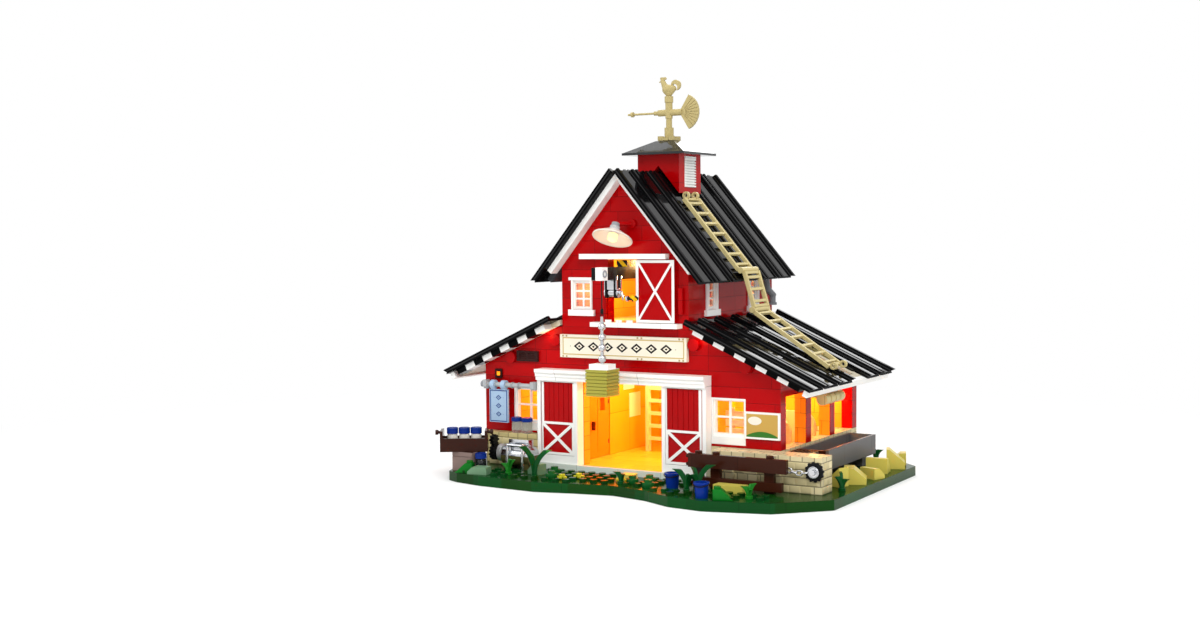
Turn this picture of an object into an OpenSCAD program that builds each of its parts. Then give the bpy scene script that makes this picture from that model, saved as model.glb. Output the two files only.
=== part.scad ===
// Toy barn of building bricks: a two-storey dairy barn on a planted base, with
// sliding barn doors whose leaves swing, a sliding loft door, an inner door, a
// loft hoist with a hay bale, a swinging sign and a weather vane.
// The origin is on the ground under the middle of the front wall's face.
// +X runs to the viewer's right, +Y into the barn and +Z up.

/* [Base] */
// Thickness of the planted base
base_t = 6.4; // [4.8:0.4:9.6]
// Thickness of the barn floor and of the door sill
floor_t = 3.2; // [2.4:0.4:4.8]
// Pitch of the studs on the base
stud_pitch = 8; // [7.6:0.2:8.4]
// Diameter of a stud
stud_d = 4.8; // [4:0.2:5.4]
// Height of a stud
stud_h = 1.8; // [1.2:0.1:2.2]

/* [Walls] */
// Width of the lower storey
body_w = 224; // [208:4:240]
// Depth of the barn from front wall face to back wall face
body_d = 128; // [128:4:144]
// Width of the upper storey
upper_w = 96; // [88:4:104]
// Thickness of every outer wall
wall_t = 8; // [6:0.5:9]
// Height of the masonry above the base
masonry_h = 22.4; // [19.2:0.8:24]
// Height at which the upper storey starts, above the ground
loft_z = 102.4; // [99.2:0.8:104]
// Thickness of the loft floor
loft_floor_t = 3.2; // [2.4:0.4:4]

/* [Barn doors] */
// Width of one sliding door frame, which is half the doorway
door_w = 32; // [28:1:36]
// Height of a sliding door frame
door_h = 57.6; // [48:0.8:60]
// Thickness of a sliding door frame
door_t = 7.6; // [6:0.2:8]
// Width of the frame's side members
door_rim = 2.6; // [2:0.2:3.6]
// Width of the frame's top member
door_head = 1.8; // [1.4:0.1:2.6]
// Height of the frame's bottom member
door_foot = 6.4; // [4.8:0.2:8]
// Thickness of a swinging leaf
leaf_t = 3; // [2.4:0.2:3.6]
// Diameter of the pins that a leaf turns on
pin_d = 1.8; // [1.4:0.1:2.2]
// Height of the cornice that hides the top track
cornice_h = 6.4; // [5:0.2:8]

/* [Windows] */
// Width of the front windows
window_w = 24; // [20:0.5:26]
// Height of the front windows
window_h = 29.6; // [24:0.4:32]
// Height of the front windows' sills above the masonry
window_rise = 1.6; // [0.8:0.2:4]
// Width of the loft windows
loft_window_w = 16; // [14:0.5:18]
// Height of the loft windows with sill and lintel
loft_window_h = 25.6; // [22:0.4:28]

/* [Roof] */
// Slope of the main roof in degrees
main_slope = 49.8; // [48.5:0.1:50.5]
// Height of the main roof's ridge
ridge_z = 207; // [202:0.5:210]
// Slope of the side roofs in degrees
side_slope = 24.5; // [23.5:0.1:25]
// Height of the side roofs' upper edge
side_top_z = 110; // [109.5:0.1:112]
// Length of every roof plank down the slope
plank_l = 96; // [92:1:100]
// Distance between neighbouring planks
plank_pitch = 24.4; // [24:0.1:24.8]
// Height of a plank's raised edges
plank_t = 3.6; // [3.2:0.1:4.2]
// Width of a plank
plank_w = 22; // [20:0.2:22.8]
// Thickness of the roof decks
deck_t = 3.6; // [2.6:0.2:4]
// How far the roofs stand out past the front wall
roof_front = 13; // [11:0.5:15]
// Depth of the white boards under the gable
fascia_d = 8; // [6:0.5:8.5]

/* [Cupola] */
// Width and depth of the cupola
cupola_w = 32; // [28:1:36]
// Height of the cupola's eave above the ground
cupola_top_z = 218; // [214:0.5:222]
// Width and depth of the cupola roof
cupola_roof_w = 48; // [44:1:52]
// Height of the cupola roof
cupola_roof_h = 10; // [8:0.5:12]

/* [Loft door and hoist] */
// Width of the loft doorway
loft_gap_w = 24; // [20:0.5:26]
// Width of the loft door
loft_door_w = 28.2; // [26:0.2:30]
// Height of the loft door
loft_door_h = 41; // [36:0.5:44]
// Thickness of the loft door
loft_door_t = 3.2; // [2.4:0.2:4]
// Width of the hoist's boom
boom_w = 8; // [6:0.2:9]
// How far the boom reaches out of the wall
boom_reach = 34; // [30:0.5:38]
// Height of the hoist boom's underside above the ground
boom_z = 135; // [133:0.2:136]
// Width of the hay bale
bale_w = 16; // [14:0.5:18]
// Height of the hay bale
bale_h = 17.8; // [14.6:0.4:19]
// Height of the hay bale's underside above the ground
bale_z = 60.6; // [56:0.2:64]
// Diameter of the hoist's string
string_d = 0.8; // [0.6:0.1:1.2]

/* [Weather vane] */
// Height of the vane's cross arm above the ground
vane_z = 247.6; // [245:0.2:250]
// Diameter of the spindle that the vane turns on
spindle_d = 3; // [2.4:0.1:3.4]
// Length of the vane's arrow from the mast
arrow_l = 32.4; // [26:0.2:36]
// Radius of the vane's tail fan from the mast
fan_r = 23.2; // [20:0.2:26]

/* [Yard] */
// Width of a ladder over its rails
ladder_w = 23; // [20:0.5:24]
// Thickness of a ladder's rails
rail_t = 2.4; // [1.8:0.1:2.8]
// Diameter of the sign's bar
bar_d = 3.2; // [2.6:0.1:3.6]
// Height of the hanging sign's board
sign_h = 22.8; // [18:0.2:24]
// Thickness of the wire in the gate chain
wire_d = 1; // [0.8:0.05:1.1]
// Height of a bucket
bucket_h = 9.6; // [8:0.2:11]

/* [Hidden] */
$fn = 32;

e = 0.01;
gap = 0.3;              // clearance between pieces that slide or swing past each other
pin_gap = 0.06;         // radial clearance of a pin in its bore
half_w = body_w/2;
half_u = upper_w/2;
masonry_z = base_t + masonry_h;
floor_z = base_t + floor_t;
door_top_z = floor_z + door_h;
loft_floor_z = loft_z + loft_floor_t;
gap_top_z = door_top_z;                 // top of the doorway in the front wall

// ---- shared forms ----
module centred(size) translate([-size[0]/2, -size[1]/2, 0]) cube(size);
module both() { children(); mirror([1, 0, 0]) children(); }
// A rod of diameter d between two points.
module rod(a, b, d) {
    v = b - a;
    l = norm(v);
    translate(a) rotate([0, acos(v[2]/l), atan2(v[1], v[0])]) cylinder(d=d, h=l);
}
// A sheet in the XZ plane, from y0 to y1.
module slab_y(points, y0, y1)
    translate([0, y1, 0]) rotate([90, 0, 0]) linear_extrude(y1 - y0) polygon(points);
// An upright panel's opening, through a wall in the XZ plane.
module hole_y(x0, x1, z0, z1, y0, y1)
    translate([x0, y0, z0]) cube([x1 - x0, y1 - y0, z1 - z0]);
// A tube along Z.
module ring(d_out, d_in, h) difference() {
    cylinder(d=d_out, h=h);
    translate([0, 0, -1]) cylinder(d=d_in, h=h + 2);
}

// ---- roof geometry ----
roof_t = plank_t + deck_t;
plank_count = 6;
roof_d = plank_pitch*(plank_count - 1) + plank_w;
ridge_x = (plank_t + 0.5)*sin(main_slope);       // half the notch along the ridge
side_x = half_u + roof_t*sin(side_slope) + 1;    // side roof's upper edge clears the wall
// Height of each roof's top plane, and of its underside, at a distance x from the middle.
function main_z(x) = ridge_z - tan(main_slope)*(x - ridge_x);
function side_z(x) = side_top_z - tan(side_slope)*(x - side_x);
function main_under(x) = main_z(x) - roof_t/cos(main_slope);
function side_under(x) = side_z(x) - roof_t/cos(side_slope);
// The right half of a roof: X runs down the slope and Z out of it.
module main_frame() translate([ridge_x, -roof_front, ridge_z]) rotate([0, main_slope, 0])
    children();
module side_frame() translate([side_x, -roof_front, side_top_z]) rotate([0, side_slope, 0])
    children();
// One channel-shaped plank, with raised edges and a bevelled lower end.
plank_edge = 2.6;
plank_web = 1.8;
module plank(w) {
    fall = (plank_t - plank_web)/2;
    difference() {
        translate([plank_l, 0, -plank_t]) rotate([90, 0, -90]) linear_extrude(plank_l)
            polygon([[0, 0], [0, plank_t], [-plank_edge, plank_t],
                [-plank_edge - fall, plank_web], [-w + plank_edge + fall, plank_web],
                [-w + plank_edge, plank_t], [-w, plank_t], [-w, 0]]);
        translate([plank_l, -1, 0]) rotate([0, 40, 0]) translate([0, 0, -plank_t])
            cube([plank_t, w + 2, 2*plank_t]);
    }
}

// ---- base and garden ----
front_edge = [[-109.5, -47], [-100, -51.5], [-78, -56], [-34, -58], [-8, -51], [18, -46],
    [44, -52], [66, -63], [90, -66], [130, -55]];
base_outline = concat([[-124, -14], [-115, -34]], front_edge, [[158, -26], [158, 118],
    [138, 137], [-108, 137], [-124, 118]]);
module base_plate() color("darkgreen") {
    linear_extrude(base_t) polygon(base_outline);
    base_studs();
}
crate_x = -101;                          // middle of the milk crate
crate_y = -36;
// What stands on the front of the base: middle and half sizes of each thing.
stands = [[crate_x, crate_y, 8, 8], [crate_x + 12.4, crate_y - 3.4, 4, 4], [-79, -15, 21, 9],
    [93, -32, 10, 4], [95, -26, 33, 4], [109, -8, 40, 8], [0, -5, 66, 6], [-84, -4, 22, 4],
    [54, -34.5, 5, 5], [86, -57, 5, 5], [-44, -42, 3, 3], [68, -42, 3, 3], [74, -39, 3, 3],
    [-66, -40, 3, 3], [18, -36, 3, 3], [112, -46, 3, 3], [-50, -30, 8, 6], [14, -22, 8, 6],
    [-84, -48, 9, 5]];
function clear_of(x, y) = min([for (k = stands) max(abs(x - k[0]) - k[2], abs(y - k[1]) - k[3])]);
module base_studs() for (i = [-13:15], j = [-8:-2]) {
    x = i*stud_pitch;
    y = j*stud_pitch;
    if (y > lookup(x, front_edge) + 4 && clear_of(x, y) > stud_d/2 + 0.2)
        translate([x, y, base_t - e]) cylinder(d=stud_d, h=stud_h + e);
}

// A curved leaf blade standing on the base: a bent, pointed sheet.
module blade(h, turn, lean) rotate([0, 0, turn]) translate([0, -0.8, 0]) difference() {
    intersection() {
        translate([-h*lean - 1.5, 0, 0]) rotate([-90, 0, 0])
            ring(d_out=2*(h*lean + 3), d_in=2*h*lean, h=1.6);
        translate([-h, -1, 0]) cube([2*h, 4, h]);
    }
    translate([-h*2 - 1.5 - h*lean, -1, -1]) cube([h*2, 4, h + 2]);
}
plants = [[-44, -42, 20, 80], [68, -42, 12, 10], [74, -39, 15, 200], [150, 6, 9, 300],
    [127, 126, 8, 60], [-66, -40, 9, 140], [18, -36, 6, 30], [112, -46, 7, 250]];
module garden_plants() color("forestgreen") for (p = plants)
    translate([p[0], p[1], base_t]) {
        cylinder(d=4.6, h=1.6);
        for (k = [0:2]) translate([0, 0, 1.6 - e]) blade(p[2]*(1 - 0.18*k), p[3] + 120*k, 1.1);
    }

// A sloped rock brick: a block with one bevelled face.
module rock(size, cut) difference() {
    centred(size);
    translate([size[0]/2, 0, size[2]*cut]) rotate([0, -50, 0]) translate([0, -size[1], 0])
        cube([size[0]*2, size[1]*2, size[2]*2]);
}
rocks = [[147, 36, 14, 16, 10, 20], [142, 20, 9, 9, 13, 160], [150, 58, 10, 12, 7, 70],
    [145, 82, 12, 14, 10, 100], [149, 104, 12, 12, 13, 20], [145, 121, 10, 10, 8, 200],
    [-50, -30, 10, 8, 7, 160], [-84, -48, 14, 8, 5, 190], [14, -22, 12, 8, 4, 190]];
module garden_rocks() color("khaki") {
    for (r = rocks) translate([r[0], r[1], base_t]) rotate([0, 0, r[5]])
        rock([r[2], r[3], r[4]], 0.35);
    translate([93, -32.1, base_t]) centred([20, 8, 4.8]);
}

// ---- floor and masonry ----
module barn_floor() color("burlywood")
    translate([0, 0, base_t]) union() {
        translate([-2*door_w, 0, 0]) cube([4*door_w, body_d, floor_t]);
        translate([-half_w + wall_t, wall_t, 0])
            cube([body_w - 2*wall_t, body_d - 2*wall_t, floor_t]);
    }
// The masonry under one half of the barn: front, side and back strips.
module masonry_half() difference() {
    translate([2*door_w, 0, base_t]) cube([half_w - 2*door_w, body_d, masonry_h]);
    translate([2*door_w - 1, wall_t, base_t - 1])
        cube([half_w - wall_t - 2*door_w + 1, body_d - 2*wall_t, masonry_h + 2]);
}
ledge_d = 8;
ledge_w = 40;
module left_foundation() color("tan") {
    mirror([1, 0, 0]) masonry_half();
    translate([-2*door_w - ledge_w, -ledge_d, base_t]) cube([ledge_w, ledge_d, masonry_h]);
}
yard_wall_d = 16;
yard_wall_x0 = 72;
yard_wall_x1 = 146;
module right_foundation() color("tan") {
    masonry_half();
    translate([yard_wall_x0, -yard_wall_d, base_t])
        cube([yard_wall_x1 - yard_wall_x0, yard_wall_d, masonry_h]);
    for (x = [84, 100, 116]) translate([x, -yard_wall_d, base_t + 8]) rotate([90, 0, 0])
        cylinder(d=8, h=1.6);
}

// ---- lower walls ----
window_x = 2*door_w;                     // inner edge of the front windows
window_z = masonry_z + window_rise;
roof_meet = side_x - 0.2;
lower_outline = [[2*door_w, masonry_z], [half_w, masonry_z], [half_w, side_under(half_w)],
    [roof_meet, side_under(roof_meet)], [half_u, loft_z], [0, loft_z], [0, floor_z],
    [2*door_w, floor_z]];
module lower_gable(y0, y1) {
    slab_y(lower_outline, y0, y1);
    mirror([1, 0, 0]) slab_y(lower_outline, y0, y1);
}
module lower_front_wall() color("firebrick") difference() {
    union() lower_gable(0, wall_t);
    hole_y(-door_w, door_w, floor_z - 1, gap_top_z, -1, wall_t + 1);
    both() hole_y(window_x, window_x + window_w, window_z, window_z + window_h,
        -1, wall_t + 1);
}
module lower_back_wall() color("firebrick") difference() {
    union() lower_gable(body_d - wall_t, body_d);
    hole_y(-2*door_w - 1, 2*door_w + 1, floor_z - 1, floor_z, body_d - wall_t - 1, body_d + 1);
}
// A side wall's outline, sloped along the underside of the side roof.
side_outline = [[half_w - wall_t, masonry_z], [half_w, masonry_z], [half_w, side_under(half_w)],
    [half_w - wall_t, side_under(half_w - wall_t)]];
module side_wall() slab_y(side_outline, wall_t, body_d - wall_t);
module lower_left_wall() color("firebrick") mirror([1, 0, 0]) side_wall();
bay = 32;                                // width of an open bay in the right wall
bay_top_z = 62;
module lower_right_wall() color("firebrick") difference() {
    side_wall();
    for (i = [0:2]) translate([half_w - wall_t - 1, wall_t + i*(bay + wall_t), masonry_z - 1])
        cube([wall_t + 2, bay, bay_top_z - masonry_z + 1]);
}

// ---- inside ----
aisle_x = half_u - wall_t;               // half the width of the middle aisle
inner_door_y = 16;
inner_door_w = 32;
inner_door_h = 51.2;
module partition_walls() color("gold") {
    difference() {
        translate([-half_u, wall_t, floor_z])
            cube([wall_t, body_d - 2*wall_t, loft_z - floor_z]);
        translate([-half_u - 1, inner_door_y, floor_z - 1])
            cube([wall_t + 2, inner_door_w, inner_door_h + 1]);
        for (z = [floor_z + pin_in, floor_z + inner_door_h - e])
            translate([inner_pin_x, inner_pin_y, z - pin_in]) cylinder(d=pin_d + 2*pin_gap, h=2*pin_in);
    }
    difference() {
        translate([aisle_x, wall_t, floor_z]) cube([wall_t, body_d - 2*wall_t, loft_z - floor_z]);
        for (i = [0, 1]) translate([aisle_x - 1, 2*wall_t + i*52, floor_z - 1])
            cube([wall_t + 2, 44, 80]);
    }
}
pin_in = 1.2;                            // depth of a hinge pin in its bore
inner_leaf_t = 3;
inner_pin_x = -aisle_x - inner_leaf_t/2;
inner_pin_y = inner_door_y + inner_door_w - gap - inner_leaf_t/2;
module inner_door() color("darkorange") {
    h = inner_door_h - 2*gap;
    l = inner_door_w - 2*gap - inner_leaf_t/2;
    difference() {
        translate([inner_pin_x, inner_pin_y, floor_z + gap]) union() {
            translate([-inner_leaf_t/2, -l, 0]) cube([inner_leaf_t, l, h]);
            cylinder(d=inner_leaf_t, h=h);
            translate([0, 0, h - e]) cylinder(d=pin_d, h=pin_in + gap - 0.1);
        }
        translate([-aisle_x - 5, inner_pin_y - 12, floor_z + 32]) cube([9, 7, 9]);
        translate([-aisle_x - 0.6, inner_pin_y - l/2 - 0.3, floor_z + 4]) cube([2, 0.6, h - 8]);
    }
    translate([-aisle_x - e, inner_pin_y - l + 7, floor_z + 20]) cube([2.4, 1.6, 6]);
}
inner_ladder_x = -26;
module inner_ladder() color("ivory") {
    h = loft_z - floor_z;
    for (x = [inner_ladder_x, inner_ladder_x + 14]) translate([x, 74, floor_z]) cube([2.4, 4, h]);
    for (z = [8:9:h - 4]) translate([inner_ladder_x + 2.4, 75, floor_z + z]) cube([11.6, 2.4, 2.4]);
}
hatch = [20, 16];
module loft_floor() color("burlywood") difference() {
    translate([-half_u + wall_t, wall_t, loft_z])
        cube([upper_w - 2*wall_t, body_d - 2*wall_t, loft_floor_t]);
    translate([inner_ladder_x - 2, 78.2, loft_z - 1]) cube([hatch[0], hatch[1], loft_floor_t + 2]);
}
// A stall divider with its free top corner rounded.
divider_l = 26;
module divider() difference() {
    union() {
        cube([divider_l, 3, 24]);
        cube([divider_l - 10, 3, 34]);
        translate([divider_l - 10, 0, 24]) rotate([-90, 0, 0]) cylinder(r=10, h=3);
    }
    for (x = [6:6:divider_l - 8]) translate([x, -1, 2]) cube([0.6, 1.6, 26]);
}
module stall_dividers() color("antiquewhite")
    for (y = [wall_t + bay + 2, wall_t + 2*bay + wall_t + 2])
        translate([half_w - wall_t - divider_l - 4, y, floor_z]) divider();

// ---- upper walls ----
gable_outline = [[-half_u, loft_z], [half_u, loft_z], [half_u, main_under(half_u)],
    [0, main_under(0)], [-half_u, main_under(half_u)]];
gap_z0 = loft_z + 4;                     // sill level of the loft doorway
gap_z1 = gap_z0 + loft_door_h + 2.2;
loft_window_x = half_u - wall_t;         // outer edge of the front loft window
loft_window_z = loft_z + 7.7;
module upper_front_wall() color("firebrick") {
    difference() {
        slab_y(gable_outline, 0, wall_t);
        hole_y(-loft_gap_w/2, loft_gap_w/2, gap_z0, gap_z1, -1, wall_t + 1);
        hole_y(-loft_window_x, -loft_window_x + loft_window_w, loft_window_z + sill_t,
            loft_window_z + loft_window_h - lintel_t, -1, wall_t + 1);
    }
    translate([-loft_gap_w/2 - 1.6, -1.6, gap_z0]) cylinder(d=3.2, h=18);
    translate([half_u - 5, -1.6, loft_z + 10]) cylinder(d=3.2, h=17);
}
module upper_back_wall() color("firebrick") slab_y(gable_outline, body_d - wall_t, body_d);
upper_side_outline = [[half_u - wall_t, loft_z], [half_u, loft_z], [half_u, main_under(half_u)],
    [half_u - wall_t, main_under(half_u - wall_t)]];
module upper_side() slab_y(upper_side_outline, wall_t, body_d - wall_t);
module upper_left_wall() color("firebrick") mirror([1, 0, 0]) upper_side();
side_windows_y = [24, 88];
module upper_right_wall() color("firebrick") difference() {
    upper_side();
    for (y = side_windows_y) translate([half_u - wall_t - 1, y, loft_window_z + sill_t])
        cube([wall_t + 2, loft_window_w, loft_window_h - sill_t - lintel_t]);
}

// ---- windows ----
sill_t = 4;
lintel_t = 2;
bar_w = 1.2;
frame_w = 2;
// A window lattice in the XZ plane, its lower left corner at the origin.
module lattice(w, h, cols, rows, t) {
    difference() {
        cube([w, t, h]);
        translate([frame_w, -1, frame_w]) cube([w - 2*frame_w, t + 2, h - 2*frame_w]);
    }
    for (i = [1:cols - 1]) translate([frame_w + i*(w - 2*frame_w)/cols - bar_w/2, t/4, frame_w - e])
        cube([bar_w, t/2, h - 2*frame_w + 2*e]);
    for (j = [1:rows - 1]) translate([frame_w - e, t/4, frame_w + j*(h - 2*frame_w)/rows - bar_w/2])
        cube([w - 2*frame_w + 2*e, t/2, bar_w]);
}
lower_sill_h = 5;
module lower_window() translate([window_x, 0, window_z]) {
    translate([0, 1.6, lower_sill_h]) lattice(window_w, window_h - lower_sill_h, 2, 2, 3.2);
    cube([window_w, wall_t, lower_sill_h]);
    translate([0, 0, lower_sill_h - e]) difference() {
        cube([window_w, 1.6, window_h - lower_sill_h + e]);
        translate([frame_w/2, -1, -1]) cube([window_w - frame_w, 4, window_h - lower_sill_h - 0.2]);
    }
}
module lower_windows() color("white") both() lower_window();
// A loft window with its sill and lintel, seated in a wall whose face is at y = 0.
module loft_window() {
    h = loft_window_h - sill_t - lintel_t;
    translate([0, 0.8, sill_t]) lattice(loft_window_w, h, 2, 3, 2.4);
    translate([-2, -2.2, 0]) cube([loft_window_w + 4, 2.2, sill_t]);
    translate([-2, -1.4, loft_window_h - lintel_t]) cube([loft_window_w + 4, 1.4, lintel_t]);
    for (x = [0, loft_window_w - 1.2]) translate([x, -1.4, sill_t - e])
        cube([1.2, 2.3, h + 2*e]);
}
module upper_windows() color("white") {
    translate([-loft_window_x, 0, loft_window_z]) loft_window();
    for (y = side_windows_y) translate([half_u, y, loft_window_z]) rotate([0, 0, 90])
        loft_window();
}

// ---- door track, sill and cornice ----
track_d = door_t + 2*gap + 1.2;          // depth of the cornice over the sliding doors
cornice_w = 4*door_w;
module header_track() color("white") translate([-cornice_w/2, 0, door_top_z + gap])
    rotate([90, 0, 90]) linear_extrude(cornice_w) polygon([[0, 0], [-door_t - gap, 0],
        [-door_t - gap, -1], [-track_d, -1], [-track_d, 1.6], [-track_d - 0.8, 1.6],
        [-track_d - 0.8, 3], [-track_d - 2, 4.4], [-track_d - 2, cornice_h], [0, cornice_h]]);
module door_sill() color("white") difference() {
    translate([-cornice_w/2, -track_d, base_t]) cube([cornice_w, track_d, floor_t + 1]);
    translate([-cornice_w/2 - 1, -door_t - gap, floor_z - gap])
        cube([cornice_w + 2, door_t + gap + 1, 3]);
}

// ---- barn doors: a sliding frame with a swinging leaf ----
leaf_w = door_w - 2*door_rim - 2*gap;
leaf_h = door_h - door_head - door_foot - 2*gap;
leaf_z = floor_z + door_foot + gap;
door_y = -gap/2 - door_t;                // front face of the frames
pin_y = door_y + leaf_t/2 + 0.2;
pin_x = 2*door_w - door_rim - gap - leaf_t/2;
// The right-hand frame at rest, standing open beside the doorway.
module door_frame() difference() {
    translate([door_w, door_y, floor_z]) cube([door_w, door_t, door_h]);
    translate([door_w + door_rim, door_y - 1, floor_z + door_foot])
        cube([door_w - 2*door_rim, leaf_t + 1.8, door_h - door_foot - door_head]);
    translate([door_w + door_rim + 1, door_y - 1, floor_z + door_foot + 1])
        cube([door_w - 2*door_rim - 2, door_t + 2, door_h - door_foot - door_head - 2]);
    for (z = [floor_z + door_foot - pin_in, floor_z + door_h - door_head - e])
        translate([pin_x, pin_y, z]) cylinder(d=pin_d + 2*pin_gap, h=pin_in + e);
}
// The right-hand leaf: rails and a cross over boards, turning on two pins.
rail_w = 1.6;
mid_rail_z = 20.6;
module door_leaf() {
    x0 = door_w + door_rim + gap;
    mid = leaf_z + mid_rail_z;
    difference() {
        union() {
            translate([x0, pin_y - leaf_t/2, leaf_z]) cube([pin_x - x0, leaf_t, leaf_h]);
            translate([pin_x, pin_y, leaf_z]) cylinder(d=leaf_t, h=leaf_h);
            translate([pin_x, pin_y, leaf_z - gap - pin_in + 0.1])
                cylinder(d=pin_d, h=leaf_h + 2*(gap + pin_in - 0.1));
        }
        translate([x0 + rail_w, pin_y - leaf_t/2 - 1, leaf_z + rail_w])
            cube([leaf_w - 2*rail_w, 1.8, mid_rail_z - rail_w]);
        translate([x0 + 0.8, pin_y - leaf_t/2 - 1, mid + rail_w])
            cube([leaf_w - 1.6 - leaf_t/2, 1.8, leaf_h]);
        board = (leaf_w - 1.6 - leaf_t/2)/6;
        for (i = [1:5]) translate([x0 + 0.6 + i*board, pin_y - leaf_t/2, mid + rail_w])
            cube([0.4, 1.2, leaf_h]);
    }
    intersection() {
        w = leaf_w - 2*rail_w;
        h = mid_rail_z - rail_w;
        a = atan2(h, w);
        translate([x0 + rail_w - e, pin_y - leaf_t/2, leaf_z + rail_w - e])
            cube([w + 2*e, 0.8 + e, h + 2*e]);
        translate([x0 + rail_w + w/2, pin_y, leaf_z + rail_w + h/2]) for (s = [-1, 1])
            rotate([0, s*a, 0]) cube([2*w, 2*leaf_t, 2], center=true);
    }
}
module left_door_frame() color("white") mirror([1, 0, 0]) door_frame();
module left_door_leaf() color("red") mirror([1, 0, 0]) door_leaf();
module right_door_frame() color("white") door_frame();
module right_door_leaf() color("red") door_leaf();

// ---- loft door ----
loft_track_x = [-31, 34];
loft_track_z = gap_z0 + loft_door_h + 0.6;
loft_door_x = 11.2;                      // door's left edge at rest, beside the boom
loft_door_y = -gap - loft_door_t;
module loft_track() color("white") difference() {
    translate([loft_track_x[0], -5.6, loft_track_z])
        cube([loft_track_x[1] - loft_track_x[0], 5.6, 3.4]);
    translate([loft_track_x[0] - 1, loft_door_y + 0.6 - gap, loft_track_z - 1])
        cube([loft_track_x[1] - loft_track_x[0] + 2, 1.6 + 2*gap, 2.6]);
}
module loft_door() color("red") {
    h = loft_door_h - gap;
    b = 1.8;
    translate([loft_door_x, loft_door_y, gap_z0 + gap]) {
        difference() {
            cube([loft_door_w, loft_door_t, h]);
            translate([b, -1, b]) cube([loft_door_w - 2*b, 1.8, h - 2*b]);
        }
        translate([1, 0.6, h - e]) cube([loft_track_x[1] - loft_door_x - 2, 1.6, 1.4]);
        intersection() {
            w = loft_door_w - 2*b;
            a = atan2(h - 2*b, w);
            translate([b - e, 0, b - e]) cube([w + 2*e, 0.8 + e, h - 2*b + 2*e]);
            translate([loft_door_w/2, 0, h/2]) for (s = [-1, 1]) rotate([0, s*a, 0])
                cube([2*h, 2*loft_door_t, 1.5], center=true);
        }
    }
}
module loft_sill() color("white") {
    translate([-21.5, -8, gap_z0 - 3]) cube([65, 8, 3]);
    for (i = [0:2]) translate([-9 + 8*i, -4.6, gap_z0 - 3 - e]) intersection() {
        cylinder(d=stud_d, h=3 + stud_h);
        translate([-4, 4.6 - 8, 0]) cube([8, 3.2, 9]);
    }
}

// ---- roofs ----
module main_deck() intersection() {
    main_frame() translate([-20, roof_front, -roof_t])
        cube([plank_l + 16, roof_d - roof_front, deck_t]);
    translate([0, -50, 0]) cube([200, 300, 400]);
}
module main_decks() color("dimgray") both() main_deck();
module main_planks() color("black") both() main_frame() for (i = [0:plank_count - 1])
    translate([0, i*plank_pitch, 0]) plank(plank_w);
missing_plank = 3;                       // one side plank has lost its lower half
module side_deck(open) difference() {
    side_frame() translate([0, roof_front - 1, -roof_t])
        cube([plank_l - 6, roof_d - roof_front + 1, deck_t]);
    if (open) side_frame()
        translate([plank_l*0.62, missing_plank*plank_pitch + 4, -roof_t - 1])
            cube([plank_l*0.28, plank_w - 8, deck_t + 2]);
}
module side_decks() color("gainsboro") {
    side_deck(true);
    mirror([1, 0, 0]) side_deck(false);
}
module side_planks() color("black") {
    side_frame() for (i = [0:plank_count - 1]) if (i != missing_plank)
        translate([0, i*plank_pitch, 0]) plank(plank_w);
    side_frame() intersection() {
        translate([0, missing_plank*plank_pitch, 0]) plank(plank_w);
        translate([-1, 0, -plank_t - 1]) cube([plank_l*0.52, roof_d, 9]);
    }
    mirror([1, 0, 0]) side_frame() for (i = [0:plank_count - 1])
        translate([0, i*plank_pitch, 0]) plank(plank_w);
    // dark blocks between the white rafter tails
    both() side_frame() for (i = [0:4]) tail_block(tail_pitch*(i + 0.5), e);
}
// One block under the planks' front ends, at a distance down the slope.
tail_pitch = (plank_l - 16)/5;
tail_x0 = 7;
module tail_block(x, rise) translate([tail_x0 + x, 3, -roof_t])
    cube([tail_pitch/2, roof_front - 4, deck_t + rise]);
module gable_trim() color("white") both() intersection() {
    main_frame() translate([-20, roof_front - fascia_d, -roof_t])
        cube([plank_l + 8, fascia_d, deck_t]);
    translate([0, -50, 0]) cube([200, 300, 400]);
}
module rafter_tails() color("white") both() side_frame() {
    for (i = [0:4]) tail_block(i*tail_pitch, 0);
    // eave board
    translate([plank_l - 6, 3, -roof_t - 1]) cube([3.2, roof_d - 4, deck_t + 1]);
}
purlins = [[52.6, 93.2], [89.2, 80.2]];
module purlin_ends() color("red") both() for (p = purlins)
    translate([p[0], -3.2, p[1]]) rotate([-90, 0, 0]) cylinder(d=8, h=3.2);

// ---- cupola ----
cupola_y = body_d/2;
module cupola_shape(w, z0, z1) translate([0, cupola_y, z0]) centred([w, w, z1 - z0]);
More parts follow.
